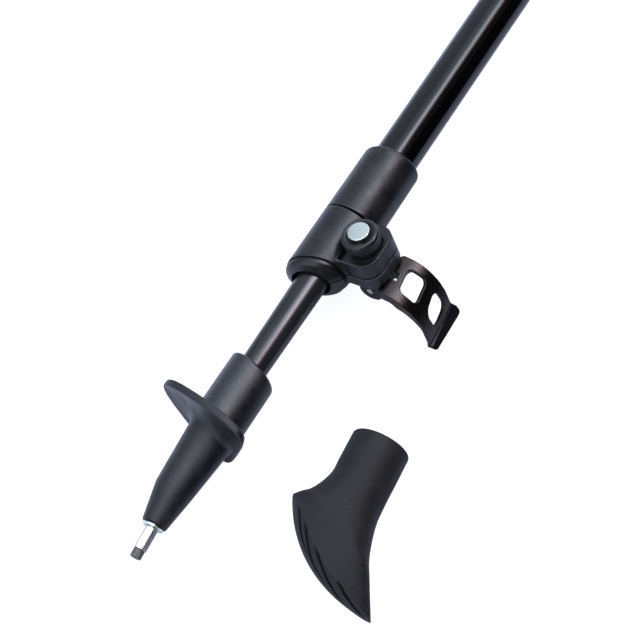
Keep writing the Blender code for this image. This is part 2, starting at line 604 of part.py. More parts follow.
def make_tip(lower, spike):
    """Ferrule, flanged cone, and the spike set in the cone's end."""
    ferrule_low = FLANGE_Y + GAP
    seat_slope = FLANGE_SLOPE
    rings = [
        ring(lower_tube_radius(ferrule_low) + GAP, ferrule_low, seat_slope, TOE_ANGLE),
        ring(FERRULE_RADIUS, ferrule_low, seat_slope, TOE_ANGLE, FERRULE_OFFSET),
        ring(FERRULE_RADIUS, FERRULE_TOP - 1.0 * MM, FERRULE_TOP_SLOPE, TOE_ANGLE, FERRULE_OFFSET),
        ring(FERRULE_RADIUS - 0.3 * MM, FERRULE_TOP - 0.3 * MM, FERRULE_TOP_SLOPE, TOE_ANGLE, FERRULE_OFFSET),
        ring(FERRULE_RADIUS - 1.0 * MM, FERRULE_TOP, FERRULE_TOP_SLOPE, TOE_ANGLE, FERRULE_OFFSET),
        ring(lower_tube_radius(FERRULE_TOP) + GAP, FERRULE_TOP, FERRULE_TOP_SLOPE, TOE_ANGLE),
    ]
    piece("shaft_ferrule", loft(rings, True), lower, MATERIALS["black_plastic"])

    step = LOWER_BOTTOM - GAP
    shank = SHANK_RADIUS + GAP
    tilt = -math.tan(SPIKE_LEAN)
    rim_low = FLANGE_Y - FLANGE_THICKNESS
    cone_top = ring(CONE_TOP_RADIUS, rim_low - 2.4 * MM, FLANGE_SLOPE, TOE_ANGLE, TIP_OFFSET)
    under = flange_outline(rim_low, -0.3 * MM)
    rings = [
        ring(shank, CONE_END_Y, tilt, TOE_ANGLE, SPIKE_OFFSET),
        ring(CONE_END_RADIUS, CONE_END_Y, tilt, TOE_ANGLE, SPIKE_OFFSET),
        ring(CONE_WAIST_RADIUS, CONE_WAIST_Y, 0.0, 0.0, TIP_OFFSET),
        cone_top,
        0.86 * cone_top + 0.14 * under + np.array([0.0, 1.1 * MM, 0.0]),
        0.6 * cone_top + 0.4 * under + np.array([0.0, 1.1 * MM, 0.0]),
        under,
        flange_outline(rim_low + 0.3 * MM),
        flange_outline(FLANGE_Y - 0.5 * FLANGE_BEVEL, -0.4 * FLANGE_BEVEL),
        flange_outline(FLANGE_Y, -FLANGE_BEVEL),
        ring(lower_tube_radius(FLANGE_Y) + GAP, FLANGE_Y, FLANGE_SLOPE, TOE_ANGLE),
        ring(lower_tube_radius(step) + GAP, step),
        ring(shank, step, 0.0, 0.0, SPIKE_OFFSET + (step - CONE_END_Y) * tilt),
    ]
    piece("tip_cone", loft(rings, True), lower, MATERIALS["tip_rubber"])

    turned(
        "tip_washer",
        [
            (RING_RADIUS - 0.4 * MM, 0.0), (RING_RADIUS, -0.4 * RING_THICKNESS),
            (RING_RADIUS - 0.5 * MM, -RING_THICKNESS), (shank, -RING_THICKNESS), (shank, 0.0),
        ],
        spike, MATERIALS["chrome"], (0.0, -GAP, 0.0), sides=32, closed=True,
    )
    top = -2.0 * GAP - RING_THICKNESS
    bottom = top - POST_LENGTH
    hexagon = rod(POST_RADIUS, (0.0, bottom, 0.0), (0.0, top, 0.0), 6)
    post = piece("spike_post", hexagon, spike, MATERIALS["chrome"])
    shank_rod = rod(SHANK_RADIUS, (0.0, top - MM, 0.0), (0.0, SHANK_LENGTH, 0.0), 24)
    combine(post, cutter("post_shank", shank_rod, spike), "UNION")
    socket = rod(SPIGOT_RADIUS + GAP, (0.0, bottom - MM, 0.0), (0.0, bottom + SPIGOT_LENGTH + GAP, 0.0), 24)
    combine(post, cutter("post_socket", socket, spike))
    turned(
        "carbide_tip",
        [
            (0.0, SPIGOT_LENGTH), (SPIGOT_RADIUS, SPIGOT_LENGTH), (SPIGOT_RADIUS, 0.0), (CARBIDE_RADIUS, 0.0),
            (CARBIDE_RADIUS, -CARBIDE_LENGTH + 0.3 * MM), (CARBIDE_RADIUS - 0.3 * MM, -CARBIDE_LENGTH),
            (0.6 * CARBIDE_RADIUS, -CARBIDE_LENGTH), (0.0, -CARBIDE_LENGTH + 0.6 * MM),
        ],
        spike, MATERIALS["carbide"], (0.0, bottom - 0.5 * GAP, 0.0), sides=24,
    )


def make_grip(pole, button):
    """Ring, foam sleeve and moulded head on the upper tube, with the catch button for a glove strap."""
    bore = UPPER_RADIUS + GAP
    radius = GRIP_RING_RADIUS
    base = UPPER_BOTTOM + UPPER_LENGTH - TUBE_IN_HEAD
    low = base - GAP - SLEEVE_LENGTH
    turned(
        "grip_ring",
        [
            (radius, GRIP_RING_LENGTH), (radius, 1.5 * MM), (radius - 1.5 * MM, 0.0), (bore, 0.0),
            (bore, GRIP_RING_LENGTH),
        ],
        pole, MATERIALS["black_plastic"], (0.0, low - GAP - GRIP_RING_LENGTH, 0.0), closed=True,
    )
    count = len(SLEEVE_RADII) - 1
    outer = [(size, SLEEVE_LENGTH * k / count) for k, size in enumerate(SLEEVE_RADII)]
    turned(
        "grip_sleeve", outer[::-1] + [(bore, 0.0), (bore, SLEEVE_LENGTH)],
        pole, MATERIALS["grip_foam"], (0.0, low, 0.0), closed=True,
    )

    tube_end = UPPER_BOTTOM + UPPER_LENGTH + PLUG_HEAD + 2.0 * GAP - base
    crown = HEAD_LENGTH - HEAD_CROWN
    well = BUTTON_RADIUS + GAP
    well_floor = HEAD_LENGTH - BUTTON_TRAVEL - SPRING_ROOM
    stem = BUTTON_STEM_RADIUS + GAP
    outline = [(well, HEAD_LENGTH), (HEAD_RADIUS - 6.0 * MM, HEAD_LENGTH)]
    for k in range(1, 6):
        lean = k * 18.0 * DEG
        outline.append((HEAD_RADIUS - 6.0 * MM * (1.0 - math.sin(lean)), crown + HEAD_CROWN * math.cos(lean)))
    outline += [(HEAD_RADIUS, 6.0 * MM), (SLEEVE_RADII[-1], 0.0), (bore, 0.0), (bore, tube_end)]
    outline += [(stem, tube_end), (stem, well_floor), (well, well_floor)]
    head = turned("grip_head", outline, pole, MATERIALS["grip_plastic"], (0.0, base, 0.0), closed=True)
    slot_low = base + tube_end + SLOT_FLOOR
    slot = box(
        (-SLOT_WIDTH / 2.0, slot_low, -1.0 * MM),
        (SLOT_WIDTH / 2.0, slot_low + SLOT_LENGTH, 2.0 * HEAD_RADIUS), 2, 1.5 * MM,
    )
    slot_tool = cutter("strap_slot", slot, pole)
    combine(head, slot_tool)

    button.location = (0.0, base + HEAD_LENGTH + BUTTON_PROUD, 0.0)
    nose = slot_low + 0.5 * MM - base - HEAD_LENGTH - BUTTON_PROUD
    skirt = -BUTTON_PROUD - 2.0 * MM
    turned(
        "release_button",
        [
            (0.0, 0.0), (0.7 * BUTTON_RADIUS, -0.4 * MM), (BUTTON_RADIUS - 0.4 * MM, -1.4 * MM),
            (BUTTON_RADIUS, -2.4 * MM), (BUTTON_RADIUS, skirt), (BUTTON_STEM_RADIUS, skirt),
            (BUTTON_STEM_RADIUS, nose + 1.0 * MM), (BUTTON_STEM_RADIUS - 1.0 * MM, nose), (0.0, nose),
        ],
        button, MATERIALS["button_grey"], (0.0, 0.0, 0.0), sides=32,
    )
    make_spring(pole, base + well_floor, base + HEAD_LENGTH - 2.0 * MM)


def make_spring(pole, low, high):
    """Return spring under the button: one unbroken helix."""
    curve = bpy.data.curves.new("button_spring", "CURVE")
    curve.dimensions = "3D"
    curve.bevel_depth = SPRING_WIRE
    curve.bevel_resolution = 1
    curve.use_fill_caps = True
    curve.materials.append(MATERIALS["steel"])
    spline = curve.splines.new("POLY")
    count = 10 * SPRING_COILS
    spline.points.add(count)
    radius = (BUTTON_RADIUS + BUTTON_STEM_RADIUS) / 2.0
    bottom, top = low + GAP + SPRING_WIRE, high - GAP - SPRING_WIRE
    for k, point in enumerate(spline.points):
        angle = 2.0 * math.pi * k / 10.0
        y = bottom + (top - bottom) * k / count
        point.co = (radius * math.cos(angle), y, radius * math.sin(angle), 1.0)
    spring = bpy.data.objects.new("button_spring", curve)
    PARTS.objects.link(spring)
    spring.parent = pole


def sole_point(share):
    """The sole's curve from heel to toe, a quadratic pull towards one point."""
    heel, toe, pull = np.array(BOOT_HEEL), np.array(BOOT_TOE), np.array(BOOT_SOLE_PULL)
    share = np.asarray(share)[:, None]
    return (1.0 - share) ** 2 * heel + 2.0 * share * (1.0 - share) * pull + share**2 * toe


def boot_section(left, right, half, power):
    """An oval between two outline points, boxier with a higher power."""
    angle = np.linspace(0.0, 2.0 * math.pi, SIDES, endpoint=False)
    across = np.sign(np.cos(angle)) * np.abs(np.cos(angle)) ** (2.0 / power)
    deep = np.sign(np.sin(angle)) * np.abs(np.sin(angle)) ** (2.0 / power)
    left, right = np.array(left), np.array(right)
    flat = (left + right) / 2.0 + across[:, None] * (right - left) / 2.0
    return np.stack([flat[:, 0], flat[:, 1], half * deep], axis=1)


def faired(sections, steps):
    """More sections between the given ones, on a smooth curve through each row of points."""
    rows = np.array(sections)
    padded = np.concatenate([2.0 * rows[:1] - rows[1:2], rows, 2.0 * rows[-1:] - rows[-2:-1]])
    found = []
    for before, low, high, after in zip(padded, padded[1:], padded[2:], padded[3:]):
        for step in range(steps):
            t = step / steps
            bend = (2.0 * before - 5.0 * low + 4.0 * high - after) * t**2
            twist = (3.0 * low - before - 3.0 * high + after) * t**3
            found.append((2.0 * low + (high - before) * t + bend + twist) / 2.0)
    return found + [rows[-1]]


def groove_tool(start, end):
    """Cutter for one groove: it crosses the sole slantwise, and deepens from the edge where it starts."""
    share = np.linspace(start, end, 7)
    centre = sole_point(share)
    wide = BOOT_SOLE_HALF_WIDTH * 2.0 * np.sqrt(share * (1.0 - share))
    across = np.linspace(1.0, -1.25, 7)
    path = np.stack([centre[:, 0], centre[:, 1], across * wide], axis=1)
    rings = []
    for k, point in enumerate(path):
        ahead = path[min(k + 1, 6)] - path[max(k - 1, 0)]
        ahead = Vector(ahead).normalized()
        slope = sole_point([share[k] + 0.01])[0] - sole_point([share[k] - 0.01])[0]
        out = Vector((slope[1], -slope[0], 0.0)).normalized()
        side = ahead.cross(out).normalized() * BOOT_GROOVE_WIDTH / 2.0
        deep = BOOT_GROOVE_DEPTH * min(1.0, 0.3 + 0.35 * k)
        base = Vector(point)
        high, low = base + out * MM, base - out * deep
        rings.append([high + side, low + side, low - side, high - side])
    made = loft(rings, False)
    bmesh.ops.triangulate(made, faces=made.faces)
    return made


def make_boot(boot):
    """Rubber boot: a socket for the cone, flaring into a hoof with a curved, slit sole."""
    socket = BOOT_SOCKET_RADIUS
    heel, toe = BOOT_HEEL, BOOT_TOE
    bore_low = BOOT_MOUTH - BOOT_BORE_DEPTH
    fit = GAP + SPIKE_OFFSET - TIP_OFFSET
    mouth_bore = CONE_TOP_RADIUS - 0.6 * MM
    deep_bore = CONE_END_RADIUS + fit
    spike = POST_RADIUS + TIP_OFFSET
    disc_seat = RING_RADIUS + fit
    inside = [
        ring(spike, bore_low - BOOT_SPIKE_ROOM), ring(spike, bore_low - BOOT_DISC_THICKNESS - GAP),
        ring(disc_seat, bore_low - BOOT_DISC_THICKNESS - GAP), ring(disc_seat, bore_low),
        ring(deep_bore, bore_low + MM), ring(mouth_bore, BOOT_MOUTH - 1.0 * MM),
        ring(mouth_bore + 0.8 * MM, BOOT_MOUTH),
    ]
    last = boot_section(heel, toe, BOOT_SOLE_HALF_WIDTH, 2.0)
    last[:, :2] = sole_point((1.0 + np.cos(np.linspace(0.0, 2.0 * math.pi, SIDES, endpoint=False))) / 2.0)
    lip = socket - 0.6 * MM
    outside = [
        boot_section((-lip, BOOT_MOUTH), (lip, BOOT_MOUTH), lip, 2.0),
        boot_section((-socket, BOOT_MOUTH - 0.6 * MM), (socket, BOOT_MOUTH - 0.6 * MM), socket, 2.0),
    ]
    back, front = np.array((-socket, BOOT_ANKLE)), np.array((socket, BOOT_ANKLE - MM))
    flare = [
        boot_section((-socket, BOOT_ANKLE + 5.0 * MM), (socket, BOOT_ANKLE + 5.0 * MM), socket, 2.0),
        boot_section(back, front, socket, 2.0),
    ]
    for back_x, back_y, front_x, front_y, width, power in BOOT_FLARE:
        left = back + (np.array(heel) - back) * (back_x, back_y)
        right = front + (np.array(toe) - front) * (front_x, front_y)
        flare.append(boot_section(left, right, width * BOOT_HALF_WIDTH, power))
    flare.append(last)
    body = bmesh.new()
    rows = [[body.verts.new(point) for point in points] for points in inside + outside + faired(flare, 3)]
    for lower, upper in zip(rows, rows[1:]):
        for k in range(SIDES):
            n = (k + 1) % SIDES
            body.faces.new((lower[k], lower[n], upper[n], upper[k]))
    body.faces.new(rows[0])
    sole = rows[-1]
    half = SIDES // 2
    body.faces.new((sole[0], sole[1], sole[-1]))
    for k in range(1, half - 1):
        body.faces.new((sole[k], sole[k + 1], sole[-k - 1], sole[-k]))
    body.faces.new((sole[half - 1], sole[half], sole[half + 1]))
    bmesh.ops.triangulate(body, faces=body.faces)
    made = piece("rubber_boot", body, boot, MATERIALS["boot_rubber"])
    for k, (start, end) in enumerate(BOOT_GROOVES):
        combine(made, cutter(f"sole_groove_{k + 1}", groove_tool(start, end), boot))
    disc = disc_seat - GAP
    turned(
        "boot_disc",
        [
            (0.0, BOOT_DISC_THICKNESS), (disc, BOOT_DISC_THICKNESS), (disc, 0.0), (0.0, 0.0),
        ],
        boot, MATERIALS["steel"], (0.0, bore_low - BOOT_DISC_THICKNESS, 0.0), sides=32,
    )


def points_of(names):
    """World points of the named objects as evaluated."""
    bpy.context.view_layer.update()
    graph = bpy.context.evaluated_depsgraph_get()
    clouds = []
    for name in names:
        shown = bpy.data.objects[name].evaluated_get(graph)
        mesh = shown.to_mesh()
        points = np.empty(3 * len(mesh.vertices), np.float32)
        mesh.vertices.foreach_get("co", points)
        world = np.array(shown.matrix_world)
        clouds.append(points.reshape(-1, 3) @ world[:3, :3].T + world[:3, 3])
        shown.to_mesh_clear()
    return np.concatenate(clouds)


def lie_down(holder, groups, up, along):
    """Turn and lower a holder so that the lowest point of each of three groups touches the ground."""
    up = np.array(up) / np.linalg.norm(up)
    for _ in range(12):
        touch = [group[np.argmin(group @ up)] for group in groups]
        normal = np.cross(touch[1] - touch[0], touch[2] - touch[0])
        normal *= np.sign(normal @ up) / np.linalg.norm(normal)
        if np.allclose(normal, up, atol=1.0e-9):
            break
        up = normal
    depth = min(float((group @ up).min()) for group in groups)
    y_axis = np.array(along) - (np.array(along) @ up) * up
    y_axis /= np.linalg.norm(y_axis)
    x_axis = np.cross(y_axis, up)
    turn = Matrix([list(x_axis), list(y_axis), list(up)]).to_4x4()
    holder.matrix_world = Matrix.Translation((0.0, 0.0, -depth)) @ turn


def make_object():
    ground = empty("ground")
    pole = empty("pole", ground)
    lower = empty("lower_section", pole)
    spike = empty("spike", lower, (-SPIKE_OFFSET * TOE[0], CONE_END_Y, -SPIKE_OFFSET * TOE[2]))
    lean_axis = Vector(np.cross(TOE, AXIS))
    spike.rotation_mode = "QUATERNION"
    spike.rotation_quaternion = Matrix.Rotation(-SPIKE_LEAN, 4, lean_axis).to_quaternion()
    lever = empty("lever_axis", pole, (BOLT_X, LOCK_Y, PIN_Z))
    adjuster = empty("adjuster_axis", pole, (BOLT_X, LOCK_Y, WHEEL_SEAT))
    button = empty("button_axis", pole)
    boot = empty("boot_axis", ground)

    make_tubes(pole, lower)
    make_collar(pole)
    make_liner(pole)
    make_screw(pole)
    make_adjuster(adjuster)
    make_lever(lever)
    make_tip(lower, spike)
    make_grip(pole, button)
    make_boot(boot)

    tip = points_of(["tip_cone"])
    grip = points_of(["grip_head", "grip_sleeve"])
    lie_down(pole, [tip, grip, points_of(["lock_lever"])], (0.42, 0.0, 0.91), AXIS)
    sole = points_of(["rubber_boot"])
    mouth = sole[sole[:, 1] > BOOT_ANKLE]
    heel = sole[(sole[:, 1] < BOOT_ANKLE) & (sole[:, 0] < 0.0)]
    toe = sole[(sole[:, 1] < BOOT_ANKLE) & (sole[:, 0] > 0.0)]
    lie_down(boot, [mouth, heel, toe], (0.0, 0.0, 1.0), AXIS)
    aside = Matrix.Translation((BOOT_SIDE, BOOT_ALONG, 0.0)) @ Matrix.Rotation(BOOT_TURN, 4, "Z")
    boot.matrix_world = aside @ boot.matrix_world

    names = [item.name for item in PARTS.objects if item.type != "EMPTY"]
    everything = points_of(names)
    middle = (everything.min(axis=0) + everything.max(axis=0)) / 2.0
    ground.location = (-float(middle[0]), -float(middle[1]), 0.0)
    bpy.context.view_layer.update()


clear_scene()
PARTS = collection("nordic_walking_pole")
CUTTERS = collection("cutters")
MATERIALS = {
    "gloss_black": material("gloss_black", (0.012, 0.012, 0.014), 0.18, 0.6),
    "satin_black": material("satin_black", (0.030, 0.030, 0.033), 0.42, 0.7),
    "black_plastic": material("black_plastic", (0.022, 0.022, 0.024), 0.5, 0.0),
    "tip_rubber": material("tip_rubber", (0.025, 0.025, 0.028), 0.55, 0.0),
    "lever_bronze": material("lever_bronze", (0.16, 0.145, 0.135), 0.35, 0.9),
    "chrome": material("chrome", (0.80, 0.80, 0.80), 0.12, 1.0),
    "steel": material("steel", (0.62, 0.61, 0.60), 0.3, 1.0),
    "carbide": material("carbide", (0.13, 0.13, 0.125), 0.45, 0.8),
    "grip_foam": material("grip_foam", (0.035, 0.035, 0.037), 0.85, 0.0),
    "grip_plastic": material("grip_plastic", (0.022, 0.022, 0.024), 0.45, 0.0),
    "button_grey": material("button_grey", (0.20, 0.20, 0.205), 0.5, 0.0),
    "boot_rubber": material("boot_rubber", (0.020, 0.020, 0.022), 0.75, 0.0),
    "cutter": material("cutter", (0.8, 0.3, 0.1), 0.5, 0.0),
}
make_object()
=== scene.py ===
"""The nordic walking pole and its loose rubber boot, laid out on a pale floor as photographed.

Every visible piece is built here from formulas, in millimetres, in the frame of the part it belongs to:
the pole's Y runs up the shaft from the spike, X points to the clamp's ears and Z out of the adjuster nut.
"""
import math

import bpy
import numpy as np
from mathutils import Matrix


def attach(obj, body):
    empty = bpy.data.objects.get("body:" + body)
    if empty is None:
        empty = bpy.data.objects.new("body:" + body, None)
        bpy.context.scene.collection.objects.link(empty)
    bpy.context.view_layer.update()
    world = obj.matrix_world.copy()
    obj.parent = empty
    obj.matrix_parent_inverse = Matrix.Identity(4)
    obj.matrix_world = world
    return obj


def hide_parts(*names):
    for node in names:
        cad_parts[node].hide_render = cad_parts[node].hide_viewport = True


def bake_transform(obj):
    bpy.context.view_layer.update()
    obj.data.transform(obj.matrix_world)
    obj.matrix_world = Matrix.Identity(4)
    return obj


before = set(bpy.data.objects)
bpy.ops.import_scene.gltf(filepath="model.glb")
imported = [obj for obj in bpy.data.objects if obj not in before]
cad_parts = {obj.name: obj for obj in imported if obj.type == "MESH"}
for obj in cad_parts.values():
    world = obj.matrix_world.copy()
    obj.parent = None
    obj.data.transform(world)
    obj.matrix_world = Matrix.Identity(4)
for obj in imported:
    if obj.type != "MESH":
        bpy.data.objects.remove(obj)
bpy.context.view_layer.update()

# Shared tools.
# Rounded profiles, turned surfaces, meshes and materials that the pieces below are made with.

MM = 0.001
POLE = np.array([
    [0.924118698, 0.0, -0.3821055, -0.028430708],
    [0.001911501, 0.999987483, 0.004622948, -0.43317306],
    [0.382100731, -0.005002548, 0.924107134, 0.020249963],
])


def full_turn(count):
    return np.linspace(0.0, 2.0 * math.pi, count, endpoint=False)


def eased(corners, steps=5):
    """A profile with rounded corners.

    Each corner is (a, b, ease): it becomes a quadratic curve between the points that lie ease before it and
    ease after it, at most about half a side away."""
    found, count = [], len(corners)
    for k, (a, b, ease) in enumerate(corners):
        here = np.array((a, b), float)
        if ease == 0.0:
            found.append(here[None])
            continue
        sides = [np.array(corners[k - 1][:2]) - here, np.array(corners[(k + 1) % count][:2]) - here]
        start, end = (here + side * min(ease / np.hypot(*side), 0.48) for side in sides)
        t = np.linspace(0.0, 1.0, steps + 1)[:, None]
        found.append((1.0 - t) ** 2 * start + 2.0 * t * (1.0 - t) * here + t**2 * end)
    return np.concatenate(found)


def grid_faces(count, columns, rows_loop, columns_loop):
    """Four-cornered faces between a grid's points. A loop joins the last row or column to the first."""
    i = np.arange(count if rows_loop else count - 1)[:, None]
    j = np.arange(columns if columns_loop else columns - 1)[None, :]
    ni, nj = (i + 1) % count, (j + 1) % columns
    corners = np.broadcast_arrays(i * columns + j, i * columns + nj, ni * columns + nj, ni * columns + j)
    return np.stack(corners, axis=-1).reshape(-1, 4)


def skinned(rows, loop=False, ends=(None, None)):
    """Points and faces of a surface through rows of points, each row closed on itself.

    A loop joins the last row to the first. An end point closes the first or last row with a fan."""
    count, columns = rows.shape[:2]
    points = rows.reshape(-1, 3)
    faces = [grid_faces(count, columns, loop, True)]
    for end, first in zip(ends, (0, (count - 1) * columns)):
        if end is None:
            continue
        here = first + np.arange(columns)
        after = np.roll(here, -1)
        pole = np.full(columns, len(points))
        faces.append(np.stack([after, here, pole] if first == 0 else [here, after, pole], axis=-1))
        points = np.concatenate([points, np.array(end, float)[None]])
    return points, faces


def spun(profile, sides, axis="y"):
    """A profile of (radius, height) turned about an axis.

    A profile that starts on the axis also ends on it, and gets a single point at each end. Any other is a
    closed loop."""
    angle = full_turn(sides)
    radius, height = profile[:, :1], profile[:, 1:] + 0.0 * angle
    x, z = radius * np.cos(angle), radius * np.sin(angle)
    rows = np.stack([x, height, z] if axis == "y" else [x, z, height], axis=-1)
    if profile[0, 0] > 0.0:
        return skinned(rows, True)
    return skinned(rows[1:-1], False, (rows[0, 0], rows[-1, 0]))


def outward(points, faces):
    """The faces, all turned round if the closed surface is inside out, told by its signed volume."""
    volume = 0.0
    for part in faces:
        corner = points[part]
        for k in range(1, part.shape[1] - 1):
            volume += np.einsum("ij,ij->", corner[:, 0], np.cross(corner[:, k], corner[:, k + 1]))
    return faces if volume > 0.0 else [part[:, ::-1] for part in faces]


def made(name, surface, place, body, nodes, finish, normals=None, marks=None):
    """An object from local points in mm and faces, put in the row frame. It rides on the body, if any.

    It keeps its local points as the attribute local, for the materials. Marks are more values per point."""
    points, faces = surface
    faces = outward(points, faces)
    corners = np.concatenate([part.ravel() for part in faces])
    sizes = np.concatenate([np.full(len(part), part.shape[1]) for part in faces])
    mesh = bpy.data.meshes.new(name)
    mesh.vertices.add(len(points))
    mesh.vertices.foreach_set("co", (points * MM @ place[:, :3].T + place[:, 3]).ravel())
    mesh.loops.add(len(corners))
    mesh.loops.foreach_set("vertex_index", corners)
    mesh.polygons.add(len(sizes))
    mesh.polygons.foreach_set("loop_start", np.cumsum(sizes) - sizes)
    mesh.update(calc_edges=True)
    local = mesh.attributes.new("local", "FLOAT_VECTOR", "POINT")
    local.data.foreach_set("vector", points.ravel())
    for mark, values in (marks or {}).items():
        mesh.attributes.new(mark, "FLOAT", "POINT").data.foreach_set("value", values)
    mesh.materials.append(finish)
    mesh.shade_smooth()
    piece = bpy.data.objects.new(name, mesh)
    bpy.context.scene.collection.objects.link(piece)
    if normals is None:
        mesh.set_sharp_from_angle(angle=math.radians(32.0))
        facing = piece.modifiers.new("facing", "WEIGHTED_NORMAL")
        facing.keep_sharp = True
    else:
        mesh.normals_split_custom_set_from_vertices(normals @ place[:, :3].T)
    if body:
        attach(piece, body)
    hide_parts(*nodes)
    return piece


def add(tree, kind, inputs=None, **settings):
    """A shader node. Inputs are by name or number: a socket is linked and a value is set."""
    node = tree.nodes.new(kind)
    for key, value in settings.items():
        setattr(node, key, value)
    for key, value in (inputs or {}).items():
        if isinstance(value, bpy.types.NodeSocket):
            tree.links.new(value, node.inputs[key])
        else:
            node.inputs[key].default_value = value
    return node


def calc(operation, total, *values):
    """The operation on the first two values, then on the result and the next value, and so on."""
    for value in values:
        tree = (total if isinstance(total, bpy.types.NodeSocket) else value).id_data
        total = add(tree, "ShaderNodeMath", {0: total, 1: value}, operation=operation).outputs[0]
    return total


def added(value, other, amount):
    """The value plus an amount of another."""
    return calc("ADD", value, calc("MULTIPLY", other, amount))


def spread(value, low, high, to_low=0.0, to_high=1.0):
    """The value's range from low to high, smoothly mapped to another."""
    ends = {"Value": value, "From Min": low, "From Max": high, "To Min": to_low, "To Max": to_high}
    return add(value.id_data, "ShaderNodeMapRange", ends, interpolation_type="SMOOTHSTEP").outputs["Result"]


def mixed(factor, *colours):
    """One colour blended to another."""
    first, second = ((*c, 1.0) if isinstance(c, tuple) else c for c in colours)
    node = add(factor.id_data, "ShaderNodeMix", {0: factor, 6: first, 7: second}, data_type="RGBA")
    return node.outputs[2]


def marked(place, mark):
    """The values that the mesh keeps for its points under a name, one number each."""
    return add(place.id_data, "ShaderNodeAttribute", attribute_name=mark).outputs["Fac"]


def grain(place, size, detail):
    """Cloudy variation between -1 and 1, of a size in mm."""
    sockets = {"Vector": place, "Scale": 1.0 / size, "Detail": detail}
    cloud = add(place.id_data, "ShaderNodeTexNoise", sockets)
    return spread(cloud.outputs["Fac"], 0.25, 0.75, -1.0, 1.0)


def specks(place, spacing, radius, share):
    """Sparse dust grains, 1 inside a grain and 0 outside. Share is the part of the cells that holds one."""
    tree = place.id_data
    cells = add(tree, "ShaderNodeTexVoronoi", {"Vector": place, "Scale": 1.0 / spacing})
    chosen = add(tree, "ShaderNodeSeparateColor", {"Color": cells.outputs["Color"]})
    reach = calc("MULTIPLY", calc("ADD", chosen.outputs[1], 0.4), radius / spacing)
    near = calc("LESS_THAN", cells.outputs["Distance"], reach)
    return calc("MULTIPLY", near, calc("LESS_THAN", chosen.outputs[0], share))


def scored(place, pitch, along):
    """Fine lines, such as a lathe leaves, as heights between 0 and 1. They vary along a direction."""
    tree = place.id_data
    flat = add(tree, "ShaderNodeVectorMath", {0: place, 1: along}, operation="MULTIPLY")
    lines = add(tree, "ShaderNodeTexNoise", {
        "Vector": flat.outputs[0], "Scale": 1.0 / pitch, "Detail": 3.0, "Roughness": 0.7,
    })
    return lines.outputs["Fac"]


def surface(name, colour, roughness, metallic=0.0, specular=0.5):
    """A new material, its Principled shader, and the local place in mm."""
    material = bpy.data.materials.new(name)
    material.use_nodes = True
    shader = material.node_tree.nodes["Principled BSDF"]
    shader.inputs["Base Color"].default_value = (*colour, 1.0)
    shader.inputs["Roughness"].default_value = roughness
    shader.inputs["Metallic"].default_value = metallic
    shader.inputs["Specular IOR Level"].default_value = specular
    place = add(shader.id_data, "ShaderNodeAttribute", attribute_name="local").outputs["Vector"]
    return material, shader, place


def feed(shader, **sockets):
    for key, socket in sockets.items():
        shader.id_data.links.new(socket, shader.inputs[key.replace("_", " ")])


def bumped(shader, height, depth, strength):
    """A height that varies between 0 and 1, as bumps. Depth is in mm, and strength 1 is the full slope."""
    sockets = {"Height": height, "Strength": strength, "Distance": depth * MM}
    bump = add(shader.id_data, "ShaderNodeBump", sockets)
    feed(shader, Normal=bump.outputs["Normal"])


def coated(name, colour, roughness, film, tones, rough, fine, bump, dust=None, metallic=0.0, specular=0.5):
    """A material that varies in soft clouds, with fine bumps and, if it is given, dust.

    Film and fine are the size in mm and the detail of the clouds and of the bumps. The clouds vary the
    colour between two tones and the roughness between two values. Bump is the bumps' depth in mm and their
    strength. Dust is its spacing, radius, share, colour and the roughness that it adds."""
    material, shader, place = surface(name, colour, roughness, metallic, specular)
    cloud = grain(place, *film)
    base = mixed(spread(cloud, -1.0, 1.0), *tones)
    matte = spread(cloud, -1.0, 1.0, *rough)
    if dust:
        spacing, radius, share, dust_colour, dust_matte = dust
        mask = specks(place, spacing, radius, share)
        base = mixed(mask, base, dust_colour)
        matte = added(matte, mask, dust_matte)
    feed(shader, Base_Color=base, Roughness=matte)
    bumped(shader, grain(place, *fine), *bump)
    return material


# Upper shaft.
# Gloss black aluminium tube, 16 mm, clamped in the lock's collar at its lower end.

GLOSS_BLACK = coated(
    "gloss_black", (0.006, 0.006, 0.007), 0.1, film=(14.0, 3.0), tones=[(0.0008, 0.0008, 0.001)] * 2,
    rough=(0.04, 0.07), fine=(0.9, 1.0), bump=(0.02, 0.06), dust=(2.6, 0.1, 0.22, (0.03, 0.03, 0.033), 0.3),
)
UPPER_BOTTOM, UPPER_LENGTH, UPPER_RADIUS, UPPER_BORE = 143.5, 678.0, 8.0, 7.0
UPPER_TOP = UPPER_BOTTOM + UPPER_LENGTH
profile = eased([
    (UPPER_RADIUS, UPPER_TOP, 0.15), (UPPER_RADIUS, UPPER_BOTTOM, 0.2), (UPPER_BORE, UPPER_BOTTOM, 0.2),
    (UPPER_BORE, UPPER_TOP, 0.15),
])
made("upper_tube", spun(profile, 160), POLE, "pole", ["upper_shaft"], GLOSS_BLACK)

# Lower shaft.
# Gloss black tube, 13 mm, drawn down to 9 mm at its lower end. It slides in the upper one.

LOWER_BOTTOM, LOWER_LENGTH, TAPER = 30.0, 632.0, 155.0
LOWER_TOP = LOWER_BOTTOM + LOWER_LENGTH
LOWER_RADIUS, LOWER_END_RADIUS, LOWER_WALL = 6.5, 4.55, 0.9


def lower_radius(y):
    """Outer radius of the lower tube at a height: even down to the taper, then falling to its end."""
    share = np.clip((y - LOWER_BOTTOM) / TAPER, 0.0, 1.0)
    return LOWER_END_RADIUS + (LOWER_RADIUS - LOWER_END_RADIUS) * share


